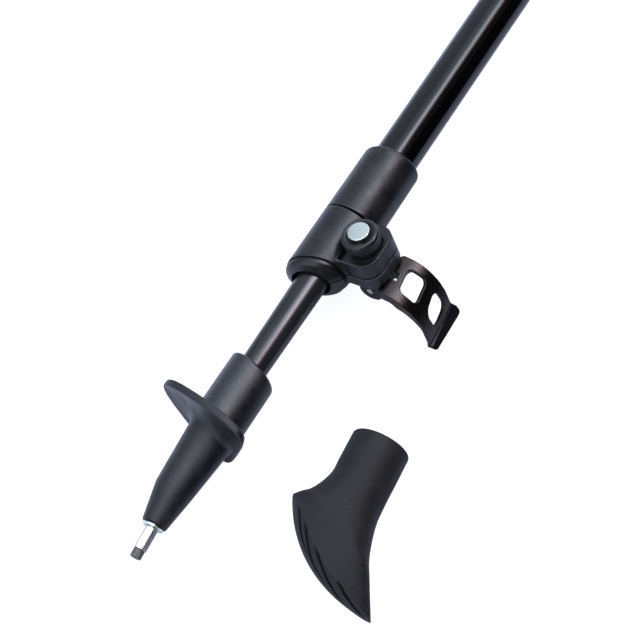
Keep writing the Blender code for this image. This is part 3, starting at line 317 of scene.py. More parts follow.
outer = [(lower_radius(y), y, 0.15) for y in (LOWER_TOP, LOWER_BOTTOM + TAPER, LOWER_BOTTOM)]
inner = [(radius - LOWER_WALL, y, 0.15) for radius, y, _ in outer[::-1]]
ANODISED = coated(
    "anodised_black", (0.013, 0.0125, 0.016), 0.17, film=(11.0, 3.0),
    tones=((0.0155, 0.015, 0.0165), (0.019, 0.0185, 0.0205)), rough=(0.1, 0.14), fine=(0.6, 2.0),
    bump=(0.02, 0.08), dust=(2.2, 0.1, 0.22, (0.04, 0.04, 0.045), 0.3),
)
made("lower_tube", spun(eased(outer + inner), 144), POLE, "lower_section", ["lower_shaft"],
     ANODISED)

# Guide and plug.
# Black plastic plugs in the tubes' ends: one guides the lower tube in the upper, one closes the upper tube.

BLACK_PLASTIC = coated(
    "black_plastic", (0.014, 0.014, 0.016), 0.42, film=(5.0, 4.0),
    tones=((0.006, 0.006, 0.007), (0.010, 0.010, 0.012)), rough=(0.38, 0.5), fine=(0.22, 2.0),
    bump=(0.03, 0.12), dust=(1.6, 0.09, 0.3, (0.06, 0.06, 0.065), 0.0),
)
GAP, PLUG_DEPTH = 0.3, -20.0
guide = eased([
    (0.0, 9.0, 0.0), (6.65, 9.0, 0.8), (6.65, 0.0, 0.3), (5.3, 0.0, 0.2), (5.3, PLUG_DEPTH, 0.5),
    (0.0, PLUG_DEPTH, 0.0),
]) + (0.0, LOWER_TOP + GAP)
made("guide_plug", spun(guide, 96), POLE, "lower_section", ["shaft_guide"], BLACK_PLASTIC)
plug = eased([
    (0.0, 2.5, 0.0), (8.0, 2.5, 0.5), (8.0, 0.0, 0.2), (6.7, 0.0, 0.2), (6.7, PLUG_DEPTH, 0.5),
    (0.0, PLUG_DEPTH, 0.0),
]) + (0.0, UPPER_TOP + GAP)
made("end_plug", spun(plug, 96), POLE, "pole", ["shaft_plug"], BLACK_PLASTIC)

# Lock collar.
# Clamp body, satin black anodised aluminium: turned outside, with two ears milled for the screw and the nut.

LOCK_Y, BOLT_X, PIN_Z = 131.2, 14.2, -12.2
EAR_TOP, EAR_BOTTOM, POCKET_DEPTH, RECESS_DEPTH = 7.0, -5.7, 1.7, 0.25
COLLAR_FOOT, SHOULDER_Y, SLIT_Y, COLLAR_BORE, BOLT_HOLE = 118.0, 168.3, 140.9, 8.3, 2.5


def rounded_max(a, b, radius):
    """Where two fields are both below zero, their shared edge rounded off by a radius."""
    corner = np.hypot(np.maximum(a + radius, 0.0), np.maximum(b + radius, 0.0))
    return np.minimum(np.maximum(a, b), -radius) + corner


def rounded_min(a, b, radius):
    """Where either of two fields is below zero, with a fillet of a radius in the inside corner."""
    return -rounded_max(-a, -b, radius)


def oval_box(x, y, half_x, half_y, radius):
    """Distance to a flat rectangle with rounded corners, centred at zero: below zero inside."""
    qx, qy = np.abs(x) - half_x + radius, np.abs(y) - half_y + radius
    return np.hypot(np.maximum(qx, 0.0), np.maximum(qy, 0.0)) + np.minimum(np.maximum(qx, qy), 0.0) - radius


def slopes(field, points, reach=0.03):
    """The field's unit slope at each point, and its steepness, from differences over a small reach."""
    slope = np.empty(points.shape)
    for axis in range(3):
        step = np.zeros(3)
        step[axis] = reach
        ahead, behind = points + step, points - step
        slope[:, axis] = (field(*ahead.T) - field(*behind.T)) / (2.0 * reach)
    steep = np.maximum(np.linalg.norm(slope, axis=1), 1.0e-6)
    return slope / steep[:, None], steep


def netted(field, low, high, step):
    """Points, faces and normals of the surface where a field of (x, y, z) is zero.

    Each cell of a grid that the surface crosses gets one point, the mean of the places where its edges
    cross zero. Each crossed grid edge gives a face between the four cells round it. Every point is then
    moved onto the surface along the field's slope, which is also its normal."""
    axes = [np.arange(a - 2.0 * step, b + 2.0 * step, step) for a, b in zip(low, high)]
    value = field(*np.meshgrid(*axes, indexing="ij"))
    shape = np.array(value.shape)
    strides = np.array([shape[1] * shape[2], shape[2], 1])
    total = int(shape.prod())
    count, sums, quads = np.zeros(total), np.zeros((3, total)), []
    for axis in range(3):
        u, v = (axis + 1) % 3, (axis + 2) % 3
        size = value.shape[axis] - 1
        first, second = value.take(range(size), axis), value.take(range(1, size + 1), axis)
        edge = np.argwhere((first < 0.0) != (second < 0.0))
        here, after = first[tuple(edge.T)], second[tuple(edge.T)]
        cross = edge.astype(float)
        cross[:, axis] += here / (here - after)
        cells = []
        for back_u, back_v in ((0, 0), (1, 0), (1, 1), (0, 1)):
            flat = edge @ strides - back_u * strides[u] - back_v * strides[v]
            cells.append(flat)
            count += np.bincount(flat, minlength=total)
            for k in range(3):
                sums[k] += np.bincount(flat, cross[:, k], total)
        quad = np.stack(cells, axis=1)
        quad[here >= 0.0] = quad[here >= 0.0][:, ::-1]
        quads.append(quad)
    used = np.flatnonzero(count)
    number = np.zeros(total, int)
    number[used] = np.arange(len(used))
    start = np.array([axis[0] for axis in axes])
    points = start + step * (sums[:, used] / count[used]).T
    for _ in range(4):
        way, steep = slopes(field, points)
        move = np.clip(field(*points.T) / steep, -0.4 * step, 0.4 * step)
        points = points - move[:, None] * way
    way, _ = slopes(field, points)
    return (points, [number[np.concatenate(quads)]]), way


def sharpness(field, points, normals, reach=0.35):
    """How convex the surface is at each point: above 0 at outer edges, below 0 in corners.

    It is the field's value just inside the surface beyond what a flat surface would have, in shares of the
    reach."""
    return field(*(points - normals * reach).T) / reach + 1.0


def collar_field(x, y, z):
    """The clamp body: a sleeve with a leaning foot and a rounded shoulder, and an ear block, less cuts."""
    radial = np.hypot(x, z)
    lean = y - 0.08 * x
    side = radial - np.interp(y, [COLLAR_FOOT, 167.2], [10.9, 10.65])
    dome = np.hypot(np.maximum(radial - 9.3, 0.0) / 1.35, np.maximum(lean - SHOULDER_Y, 0.0) / 1.5) - 1.0
    outside = np.where(lean > SHOULDER_Y, 1.35 * dome, side)
    body = rounded_max(outside, (COLLAR_FOOT + 0.27 * x - y) * 0.965, 0.35)
    ears = oval_box(x, y - LOCK_Y, 22.2, 9.5, 6.0)
    ears = rounded_max(ears, np.abs(z - 0.65) - 6.35, 0.5)
    ears = np.maximum(np.maximum(ears, 5.45 - x), 9.6 - radial)
    body = rounded_max(rounded_min(body, ears, 0.7), COLLAR_BORE - radial, 0.25)
    slit = np.maximum(np.abs(y - SLIT_Y) - np.interp(x, [-9.0, 9.0], [0.22, 0.5]), -9.3 - x)
    body = rounded_max(body, -slit, 0.18)
    seam = np.maximum(np.maximum(np.abs(z) - 0.5, 4.15 - x), y - SLIT_Y)
    body = rounded_max(body, -seam, 0.2)
    away = np.hypot(x - BOLT_X, y - LOCK_Y)
    body = np.maximum(body, BOLT_HOLE - away)
    pocket = oval_box(np.maximum(x - 12.0, 0.0), y - 129.5, 8.6, 7.1, 4.4)
    pocket = np.maximum(np.maximum(pocket, COLLAR_BORE - x), EAR_TOP - POCKET_DEPTH - z)
    body = rounded_max(body, -pocket, 0.22)
    body = np.maximum(body, -np.maximum(away - 5.9, EAR_TOP - POCKET_DEPTH - RECESS_DEPTH - z))
    room = np.maximum(away - 7.5, EAR_TOP + 0.15 - z)
    return rounded_max(body, -room, 0.3)


SATIN_BLACK, shader, place = surface("satin_black", (0.016, 0.016, 0.018), 0.36)
film = grain(place, 6.0, 4.0)
sparkle = grain(place, 0.28, 1.0)
# Convex edges are coloured a lighter grey-blue: partly edge wear, partly a painted highlight along the
# edges.
edge_wear_and_highlight = spread(added(marked(place, "edge"), film, 0.05), 0.12, 0.42)
base = mixed(spread(film, -1.0, 1.0), (0.006, 0.006, 0.0075), (0.011, 0.0105, 0.0115))
feed(shader, Base_Color=mixed(edge_wear_and_highlight, base, (0.075, 0.08, 0.09)),
     Roughness=added(spread(film, -1.0, 1.0, 0.27, 0.37), sparkle, 0.05))
lines = scored(place, 0.35, (0.06, 1.0, 0.06))
bumped(shader, added(lines, sparkle, 0.6), 0.04, 0.45)

net, way = netted(collar_field, (-11.0, 114.0, -11.0), (22.4, 171.0, 11.0), 0.36)
made("clamp_body", net, POLE, "pole", ["lock_collar"], SATIN_BLACK, way,
     {"edge": sharpness(collar_field, net[0], way)})

# Clamp liner.
# Split black plastic bush between the collar and the lower tube; its conical flange shows under the collar.

LINER_RADIUS, LINER_BORE, LINER_SLANT = 10.4, 6.85, 0.27
LINER_TOP, LINER_END = COLLAR_FOOT - 0.36, 139.4
profile = eased([
    (LINER_BORE, LINER_TOP - 3.8, 0.3), (LINER_RADIUS - 1.1, LINER_TOP - 2.4, 0.5),
    (LINER_RADIUS, LINER_TOP - 1.3, 0.4), (LINER_RADIUS, LINER_TOP, 0.15), (8.0, LINER_TOP, 0.2),
    (8.0, LINER_END, 0.2), (LINER_BORE, LINER_END, 0.2),
])
radius, height = profile[:, :1], profile[:, 1:]
share = np.linspace(0.0, 1.0, 161)[None, :]
angle = np.arcsin(0.82 / radius) * (1.0 - share) + (np.arcsin(0.38 / radius) + 2.0 * math.pi) * share
x, z = radius * np.cos(angle), radius * np.sin(angle)
tilt = LINER_SLANT * np.clip((LINER_END - height) / 20.0, 0.0, 1.0)
rows = np.stack([x, height + tilt * x, z], axis=-1)
count, columns = rows.shape[:2]
here = np.arange(count) * columns
after = np.roll(here, -1)
last, middle = columns - 1, np.full(count, count * columns)
faces = [grid_faces(count, columns, True, False), np.stack([after, here, middle], -1),
         np.stack([here + last, after + last, middle + 1], -1)]
points = np.concatenate([rows.reshape(-1, 3), rows[:, [0, -1]].mean(axis=0)])
GLOSSY_PLASTIC = coated(
    "glossy_plastic", (0.006, 0.006, 0.007), 0.26, film=(4.0, 4.0), tones=[(0.0035, 0.0035, 0.004)] * 2,
    rough=(0.27, 0.30), fine=(0.3, 2.0), bump=(0.005, 0.03), dust=(1.4, 0.08, 0.3, (0.04, 0.04, 0.045), 0.0),
)
made("liner_bush", (points, faces), POLE, "pole", ["clamp_liner"], GLOSSY_PLASTIC)

# Screw, pin, plate and washer.
# Steel eye bolt through both ears, the pin through its eye and the lever's cams, the thin wear plate that
# the cams run on, and the black bush under the thumbwheel.

STEEL = coated(
    "steel", (0.52, 0.51, 0.50), 0.28, film=(1.6, 4.0), tones=((0.44, 0.43, 0.42), (0.60, 0.59, 0.57)),
    rough=(0.2, 0.42), fine=(0.18, 2.0), bump=(0.02, 0.1), metallic=1.0,
)
BUSH_HEIGHT = 4.6
BUSH_Z = EAR_TOP - POCKET_DEPTH - RECESS_DEPTH + GAP
WHEEL_SEAT = BUSH_Z + BUSH_HEIGHT + GAP
BOLT = np.array([BOLT_X, LOCK_Y, 0.0])
PIN = BOLT + (0.0, 0.0, PIN_Z)
PIN_RADIUS, PIN_HALF, PIN_HOLE, BOLT_RADIUS = 1.2, 6.85, 1.45, 2.2


def moved(surface_made, shift):
    return surface_made[0] + np.array(shift), surface_made[1]


def joined(*surfaces):
    """Several closed surfaces as the parts of one mesh."""
    points, faces, start = [], [], 0
    for some, parts in surfaces:
        faces += [part + start for part in outward(some, parts)]
        points.append(some)
        start += len(some)
    return np.concatenate(points), faces


shank = spun(eased([
    (0.0, WHEEL_SEAT + 3.2, 0.0), (BOLT_RADIUS, WHEEL_SEAT + 3.2, 0.4), (BOLT_RADIUS, PIN_Z + 2.0, 0.2),
    (0.0, PIN_Z + 2.0, 0.0),
]), 48, "z")
eye = spun(eased([(3.3, 1.6, 0.3), (3.3, -1.6, 0.3), (PIN_HOLE, -1.6, 0.2), (PIN_HOLE, 1.6, 0.2)]), 64)
made("eye_bolt", joined(moved(shank, BOLT), moved(eye, PIN)), POLE, "pole", ["clamp_bolt"], STEEL)

NICKEL = coated(
    "nickel", (0.80, 0.74, 0.67), 0.22, film=(0.9, 4.0), tones=((0.78, 0.71, 0.63), (0.92, 0.87, 0.81)),
    rough=(0.30, 0.42), fine=(0.9, 4.0), bump=(0.01, 0.05), metallic=1.0,
)
pin = spun(eased([
    (0.0, PIN_HALF, 0.0), (PIN_RADIUS, PIN_HALF, 0.25), (PIN_RADIUS, -PIN_HALF, 0.25), (0.0, -PIN_HALF, 0.0),
]), 48)
made("cam_pin", moved(pin, PIN), POLE, "lever", ["lever_pin"], NICKEL)


def plate_field(x, y, z):
    """A thin plate with rounded corners and a hole for the screw."""
    dx, dy = x - BOLT_X, y - LOCK_Y
    flat = rounded_max(oval_box(dx, dy, 4.8, 6.3, 1.5), np.abs(z - EAR_BOTTOM + 0.9) - 0.6, 0.15)
    return rounded_max(flat, BOLT_HOLE - np.hypot(dx, dy), 0.15)


net, way = netted(plate_field, (9.2, 124.7, -7.4), (19.2, 137.7, -5.8), 0.2)
made("wear_plate", net, POLE, "pole", ["cam_plate"], STEEL, way)

profile = eased([
    (4.6, BUSH_HEIGHT, 0.3), (5.6, 1.61, 0.6), (5.6, 0.0, 0.2), (BOLT_HOLE, 0.0, 0.2),
    (BOLT_HOLE, BUSH_HEIGHT, 0.2),
]) + (0.0, BUSH_Z)
made("bush", moved(spun(profile, 96, "z"), BOLT), POLE, "pole", ["thrust_washer"],
     BLACK_PLASTIC)

# Thumbwheel and nut.
# Black knurled wheel pressed on a chromed nut: a smooth rounded rim over two bands of fine beads.

wheel = eased([
    (3.5, 0.0, 0.2), (5.95, 0.0, 0.2), (5.95, -1.9, 0.1), (6.5, -1.9, 0.15), (6.75, -1.6, 0.15),
    (6.75, -0.75, 0.15), (6.4, -0.6, 0.08), (6.4, -0.4, 0.08), (6.8, -0.25, 0.15), (6.8, 0.65, 0.15),
    (6.45, 0.8, 0.08), (6.45, 1.0, 0.08), (6.85, 1.3, 0.3), (6.75, 2.5, 0.7), (5.9, 3.2, 0.9),
    (5.1, 3.0, 0.3), (4.4, 2.3, 0.3), (3.5, 2.3, 0.1),
], 6)
BEADS, BEAD_DEPTH = 48, 0.42
angle = full_turn(480)[None, :]
radius, height = wheel[:, :1], wheel[:, 1:]
banded = ((radius > 6.6) & (height < 0.75)).astype(float)
beads = np.abs(np.sin(BEADS / 2.0 * angle)) ** 1.4
radius = radius - BEAD_DEPTH * banded * (1.0 - beads)
rows = np.stack([radius * np.cos(angle), radius * np.sin(angle), height + 0.0 * angle], axis=-1)
WHEEL_BLACK = coated(
    "wheel_black", (0.009, 0.009, 0.010), 0.3, film=(2.0, 4.0),
    tones=((0.007, 0.007, 0.008), (0.012, 0.012, 0.013)), rough=(0.25, 0.36), fine=(0.25, 2.0),
    bump=(0.03, 0.15), specular=0.6,
)
made("thumbwheel", moved(skinned(rows, True), BOLT + (0.0, 0.0, WHEEL_SEAT)), POLE, "adjuster",
     ["adjuster_wheel"], WHEEL_BLACK)

CHROME, shader, place = surface("chrome", (0.72, 0.74, 0.76), 0.07, 1.0)
film = grain(place, 1.2, 3.0)
scratch = spread(scored(place, 0.2, (0.9, -0.05, 0.7)), 0.68, 0.74)
feed(shader, Base_Color=mixed(scratch, (0.86, 0.95, 0.88), (0.5, 0.52, 0.5)),
     Roughness=added(spread(film, -1.0, 1.0, 0.05, 0.12), scratch, 0.3))
bumped(shader, film, 0.01, 0.1)

NUT_HEAD, NUT_BORE_END = WHEEL_SEAT + 3.25, WHEEL_SEAT + 3.4
nut = eased([
    (0.0, NUT_HEAD + 1.0, 0.0), (3.9, NUT_HEAD + 1.0, 0.28), (3.9, NUT_HEAD, 0.1), (3.2, NUT_HEAD, 0.05),
    (3.2, WHEEL_SEAT, 0.1), (2.5, WHEEL_SEAT, 0.1), (2.5, NUT_BORE_END, 0.05), (0.0, NUT_BORE_END, 0.0),
])
made("nut_head", moved(spun(nut, 128, "z"), BOLT), POLE, "adjuster", ["adjuster_nut"], CHROME)

# Lock lever.
# Cast bronze-grey cam lever, shown open: a bowed strip with two windows and a thick lip, and two cams on
# its pin.

LEVER_START = np.array((20.0, -7.1))
BENDS = ((24.0, 10.0), (12.0, 46.0), (34.0, 30.0))
heading, place_now, length, arcs = math.radians(-6.0), LEVER_START, 0.0, []
for bend, turn in BENDS:
    centre = place_now + bend * np.array((math.sin(heading), -math.cos(heading)))
    arcs.append((centre, bend, heading, length))
    length += bend * math.radians(turn)
    heading -= math.radians(turn)
    place_now = centre + bend * np.array((-math.sin(heading), math.cos(heading)))
BEND_END, LIP_HEADING, LIP_START = length, heading, place_now
LEVER_END, LIP_LINE, LIP_SKEW = BEND_END + 3.6, BEND_END - 1.2, 0.24
CAM_X, CAM_Z, CAM_RADIUS, ROOT_HALF, EYE_ROOM = BOLT_X - 0.1035, PIN_Z - 0.3864, 4.3, 6.7, 2.5


def along_lever(x, z):
    """Length along the lever's outer face and height above it, from the nearest of its bends or its lip."""
    best = np.full(np.shape(x), 1.0e9)
    along, above = np.zeros(np.shape(x)), np.zeros(np.shape(x))
    for (centre, bend, start, begun), (_, turn) in zip(arcs, BENDS):
        vx, vz = x - centre[0], z - centre[1]
        away = np.hypot(vx, vz)
        swept = (start - np.arctan2(-vx, vz) + math.pi) % (2.0 * math.pi) - math.pi
        held = np.clip(swept, 0.0 if begun else -1.0, math.radians(turn))
        gap = np.hypot(away - bend, np.abs(swept - held) * away)
        nearer = gap < best
        best = np.where(nearer, gap, best)
        along = np.where(nearer, begun + swept * bend, along)
        above = np.where(nearer, away - bend, above)
    ahead = np.array((math.cos(LIP_HEADING), math.sin(LIP_HEADING)))
    vx, vz = x - LIP_START[0], z - LIP_START[1]
    run, rise = vx * ahead[0] + vz * ahead[1], -vx * ahead[1] + vz * ahead[0]
    gap = np.hypot(rise, np.minimum(run, 0.0))
    nearer = gap < best
    return np.where(nearer, BEND_END + run, along), np.where(nearer, rise, above)


def lever_field(x, y, z):
    """The lever: strip, root wedge and cams, less the windows, the eye's room, the notch and the hole."""
    across = y - LOCK_Y
    run, rise = along_lever(x, z)
    past = run + LIP_SKEW * across - LIP_LINE
    lift = np.clip(past / 0.35 + 0.5, 0.0, 1.0) * (0.2 + 0.03 * (8.8 - across))
    lift = lift + 0.3 * np.clip(past - 0.6, 0.0, 6.0)
    web = np.interp(run, [0.0, 4.2, 6.5, 12.0, 30.0], [5.0, 4.6, 2.2, 1.6, 1.6])
    rib = np.interp(run, [0.0, 12.0, 19.0, 25.0, 31.0], [4.6, 4.3, 2.6, 1.8, 1.6])
    wall = web + np.clip(np.abs(across) - 6.3, 0.0, 1.0) * np.maximum(rib - web, 0.0)
    wall = np.maximum(wall, np.interp(past, [-0.5, 2.0], [1.6, 2.2]))
    upper = np.interp(run, [18.0, 22.0, 26.0, 28.5, 31.5], [8.65, 8.35, 7.75, 7.66, 8.85])
    lower = np.interp(run, [0.0, 6.0, 10.0, 15.0, 24.0, 28.0, 31.6], [8.1, 8.4, 8.8, 8.5, 8.3, 8.7, 8.85])
    half = np.where(across > 0.0, upper, lower)
    half = ROOT_HALF + (half - ROOT_HALF) * np.clip((run + 0.8) / 1.8, 0.0, 1.0)
    outline = rounded_max(np.abs(across) - half, run + 0.075 * across - LEVER_END, 1.6)
    strip = rounded_max(rise - lift, -rise - wall, 0.35)
    strip = np.maximum(rounded_max(strip, outline, 0.4), -run - 0.8)
    wedge = np.full(np.shape(x), -1.0e9)
    corners = [(15.2, -8.43), (20.0, -7.1), (21.3, -12.2), (16.25, -16.3), (13.6, -12.6)]
    for (ax, az), (bx, bz) in zip(corners, corners[1:] + corners[:1]):
        size = math.hypot(bx - ax, bz - az)
        wedge = np.maximum(wedge, ((x - ax) * (az - bz) + (z - az) * (bx - ax)) / size)
    cams = np.hypot(x - CAM_X, z - CAM_Z) - CAM_RADIUS
    root = rounded_max(rounded_min(wedge, cams, 0.8), np.abs(across) - ROOT_HALF, 0.4)
    body = rounded_min(strip, root, 0.6)
    for middle, off, length, width, skew, round_by in (
        (9.85, 0.15, 4.15, 4.75, 0.17, 2.2), (23.6, 0.6, 4.4, 4.35, 0.33, 3.0),
    ):
        window = oval_box(run + skew * (across - off) - middle, across - off, length, width, round_by)
        body = rounded_max(body, -window, 0.4)
    body = rounded_max(body, -np.maximum(np.abs(across) - EYE_ROOM, x - 20.0), 0.2)
    body = rounded_max(body, -oval_box(np.maximum(x - 15.0, 0.0), across, 8.6, 1.6, 0.3), 0.2)
    return rounded_max(body, PIN_HOLE - np.hypot(x - BOLT_X, z - PIN_Z), 0.15)


BRONZE, shader, place = surface("lever_bronze", (0.052, 0.043, 0.041), 0.32, 1.0)
film = grain(place, 7.0, 3.0)
fine = grain(place, 0.5, 3.0)
# Convex edges are coloured light grey: partly edge wear, partly a painted highlight along the edges and
# window rims.
edge_wear_and_highlight = spread(added(marked(place, "edge"), fine, 0.04), 0.1, 0.45)
# Painted shade: past the lip line the lever is coloured near-black, for its shaded end face, and made a
# little rougher.
lip = spread(marked(place, "lip"), LIP_LINE, LIP_LINE + 0.4)
cast = mixed(spread(film, -1.0, 1.0), (0.046, 0.038, 0.036), (0.060, 0.050, 0.047))
cast = mixed(edge_wear_and_highlight, cast, (0.26, 0.26, 0.27))
feed(shader, Base_Color=mixed(lip, cast, (0.010, 0.010, 0.0115)),
     Roughness=added(spread(fine, -1.0, 1.0, 0.27, 0.37), lip, 0.05))
bumped(shader, fine, 0.02, 0.15)

net, way = netted(lever_field, (8.8, 122.0, -36.0), (38.6, 140.4, -5.6), 0.22)
run, _ = along_lever(net[0][:, 0], net[0][:, 2])
made("cam_lever", net, POLE, "lever", ["lock_lever"], BRONZE, way,
     {"edge": sharpness(lever_field, net[0], way, 0.3), "lip": run + LIP_SKEW * (net[0][:, 1] - LOCK_Y)})

# Ferrule.
# Black sleeve on the lower tube's end: slanted rounded top, seated on the flange.

TOE_ANGLE = math.radians(146.0)
TOE = np.array([math.cos(TOE_ANGLE), 0.0, math.sin(TOE_ANGLE)])
BESIDE = np.array([-math.sin(TOE_ANGLE), 0.0, math.cos(TOE_ANGLE)])
AXIS = np.array([0.0, 1.0, 0.0])
FLANGE_Y, FLANGE_SLOPE = 52.3, 0.18
turn = full_turn(192)


def hoop(radius, y, slope=0.0, shift=0.0):
    """A circle about the shaft, shifted away from the toe, its plane rising towards the toe by the slope."""
    ahead, beside = radius * np.cos(turn), radius * np.sin(turn)
    return (ahead - shift)[:, None] * TOE + beside[:, None] * BESIDE + (y + slope * ahead)[:, None] * AXIS


FERRULE_TOP, TOP_SLOPE, FERRULE_RADIUS, ROUNDING, OFF_AXIS = 75.2, 0.22, 9.2, 1.3, 0.8
low, shoulder = FLANGE_Y + GAP, FERRULE_TOP - ROUNDING
rows = [hoop(lower_radius(low) + GAP, low, FLANGE_SLOPE),
        hoop(FERRULE_RADIUS - 0.15, low, FLANGE_SLOPE, OFF_AXIS),
        hoop(FERRULE_RADIUS, low + 0.25, FLANGE_SLOPE, OFF_AXIS)]
for share in np.linspace(0.1, 0.8, 4):
    slope = FLANGE_SLOPE + share * (TOP_SLOPE - FLANGE_SLOPE)
    rows.append(hoop(FERRULE_RADIUS, low + share * (shoulder - low), slope, OFF_AXIS))
for lean in np.linspace(0.0, math.pi / 2.0, 8):
    radius = FERRULE_RADIUS - ROUNDING * (1.0 - math.cos(lean))
    rows.append(hoop(radius, shoulder + ROUNDING * math.sin(lean), TOP_SLOPE, OFF_AXIS))
rows.append(hoop(lower_radius(FERRULE_TOP) + 0.6, FERRULE_TOP, TOP_SLOPE))
rows.append(hoop(lower_radius(FERRULE_TOP) + GAP, FERRULE_TOP - 0.4, TOP_SLOPE))
SATIN_PLASTIC = coated(
    "tip_plastic", (0.013, 0.013, 0.014), 0.4, film=(4.0, 4.0),
    tones=((0.007, 0.007, 0.009), (0.011, 0.011, 0.013)), rough=(0.26, 0.36), fine=(0.25, 2.0),
    bump=(0.05, 0.4), dust=(1.5, 0.1, 0.3, (0.07, 0.07, 0.07), 0.0), specular=0.8,
)
made("ferrule", skinned(np.array(rows), True), POLE, "lower_section", ["shaft_ferrule"],
     SATIN_PLASTIC)

# Cone and flange.
# Black moulded cone whose flange keeps the pole from sinking in: pointed to the toe, blunt at the heel.

CONE_END, WAIST_Y, TIP_OFFSET, MIDDLE = 12.6, 25.5, 1.0, 2.63
SPIKE_LEAN = math.radians(4.5)
SPIKE_OFFSET = TIP_OFFSET + (WAIST_Y - CONE_END) * math.tan(SPIKE_LEAN)


def rim(y, grow=0.0):
    """The flange's outline in its slanted plane.

    To the toe it is an oval with power 1.3, cut blunt. To the heel it is an oval with power 5. Its middle
    lies behind the shaft's axis."""
    ahead, beside = np.cos(turn), np.sin(turn)
    power = np.where(ahead > 0.0, 1.3, 5.0)
    reach = np.where(ahead > 0.0, 24.2 + MIDDLE + grow, 11.7 - MIDDLE + grow)
    side = np.where(beside > 0.0, 16.8, 18.4) + grow
    blunt = np.maximum(ahead, 0.0) / (22.4 + MIDDLE + grow)
    size = (np.abs(ahead / reach) ** power + np.abs(beside / side) ** power) ** (12.0 / power) + blunt ** 12
    along, across = size ** (-1.0 / 12.0) * ahead - MIDDLE, size ** (-1.0 / 12.0) * beside
    return along[:, None] * TOE + across[:, None] * BESIDE + (y + FLANGE_SLOPE * along)[:, None] * AXIS


def between(first, last, share):
    return (1.0 - share) * first + share * last


heel = np.clip(-np.cos(turn), 0.0, 1.0) ** 0.7
low_round, high_round = 0.5 + 1.0 * heel, 0.8 + 0.9 * heel
under = FLANGE_Y - 2.8 - 0.4 * heel
step, shank_hole, tilt = LOWER_BOTTOM - GAP, 2.0, -math.tan(SPIKE_LEAN)
cone_top = hoop(8.3, FLANGE_Y - 6.3, FLANGE_SLOPE, TIP_OFFSET)
waist = hoop(6.7, WAIST_Y, 0.0, TIP_OFFSET)
cone_end = hoop(4.4, CONE_END + 0.3, tilt, SPIKE_OFFSET)
skirt = rim(under, 0.3 * heel - low_round)
face_ring = rim(FLANGE_Y, -high_round)
tube_ring = hoop(lower_radius(FLANGE_Y) + GAP, FLANGE_Y, FLANGE_SLOPE)
rows = [hoop(shank_hole, CONE_END, tilt, SPIKE_OFFSET), hoop(3.9, CONE_END, tilt, SPIKE_OFFSET),
        hoop(4.25, CONE_END + 0.08, tilt, SPIKE_OFFSET), cone_end]
rows += [between(cone_end, waist, share) for share in (0.25, 0.5, 0.75, 0.93)]
rows += [between(between(cone_end, waist, 0.985), between(waist, cone_top, 0.015), 0.5)]
rows += [between(waist, cone_top, share) for share in (0.04, 0.3, 0.6, 0.85, 1.0)]
for share in np.linspace(0.06, 1.0, 14):
    out, up = share ** 1.7, 1.0 - (1.0 - share) ** 2.3
    rows.append(between(cone_top, skirt, np.array([out, up, out])))
for lean in np.linspace(0.0, math.pi / 2.0, 6)[1:]:
    down, back = low_round * (1.0 - math.cos(lean)), low_round * (1.0 - math.sin(lean))
    rows.append(rim(under + down, 0.3 * heel - back))
for lean in np.linspace(0.0, math.pi / 2.0, 6):
    down, back = high_round * (1.0 - math.sin(lean)), high_round * (1.0 - math.cos(lean))
    rows.append(rim(FLANGE_Y - down, -back))
rows += [between(face_ring, tube_ring, share) for share in (0.1, 0.5, 1.0)]
rows += [hoop(lower_radius(step) + GAP, step),
         hoop(shank_hole, step, 0.0, SPIKE_OFFSET + (step - CONE_END) * tilt)]
TIP_RUBBER = coated(
    "tip_rubber", (0.013, 0.013, 0.014), 0.45, film=(5.0, 4.0),
    tones=((0.007, 0.007, 0.009), (0.012, 0.012, 0.014)), rough=(0.36, 0.5), fine=(0.3, 2.0),
    bump=(0.06, 0.4), dust=(1.5, 0.11, 0.35, (0.08, 0.08, 0.08), 0.0), specular=0.55,
)
made("flanged_cone", skinned(np.array(rows), True), POLE, "lower_section", ["tip_cone"],
     TIP_RUBBER)

# Spike.
# Chromed ring and six-sided post set in the cone, leaning a little to the toe, with a dark hard-metal tip.

SPIKE = np.array([
    [0.921614707, -0.076874256, -0.380416512, -0.026456164],
    [0.06695883, 0.996983349, -0.039252024, -0.420575231],
    [0.382286429, 0.010702996, 0.923981905, 0.019783923],
])
ring = eased([
    (3.55, -0.3, 0.1), (3.95, -0.66, 0.2), (3.45, -1.2, 0.2), (2.0, -1.2, 0.1), (2.0, -0.3, 0.1),
])
made("tip_ring", spun(ring, 96), SPIKE, "lower_section", ["tip_washer"], CHROME)

POST_END, POST_TOP, POST_TURN, HEX_CORNER = -9.4, -1.5, math.radians(12.5), 2.45
ROD_RADIUS, ROD_TOP, TIP_HOLE, TIP_DEPTH = 1.7, 14.0, 1.4, 2.7


def post_field(x, y, z):
    """A hexagonal post with chamfered ends, a round shank above it and a socket for the tip below."""
    radial = np.hypot(x, z)
    sector = np.arctan2(x, z) + POST_TURN
    fold = np.abs((sector + math.pi / 6.0) % (math.pi / 3.0) - math.pi / 6.0)
    flat = radial * np.cos(math.pi / 6.0 - fold) - HEX_CORNER * math.cos(math.pi / 6.0)
    hexagon = rounded_max(flat, np.maximum(y - POST_TOP, POST_END - y), 0.12)
    hexagon = rounded_max(hexagon, (radial - 2.35 + np.maximum(POST_END + 0.25 - y, 0.0)) * 0.9, 0.05)
    rod = rounded_max(radial - ROD_RADIUS, np.maximum(y - ROD_TOP, -2.0 - y), 0.2)
    hole = np.maximum(radial - TIP_HOLE, y - POST_END - TIP_DEPTH)
    return rounded_max(rounded_min(hexagon, rod, 0.05), -hole, 0.1)


net, way = netted(post_field, (-2.6, POST_END - 0.2, -2.6), (2.6, 14.2, 2.6), 0.13)
made("hex_post", net, SPIKE, "lower_section", ["spike_post"], NICKEL, way)

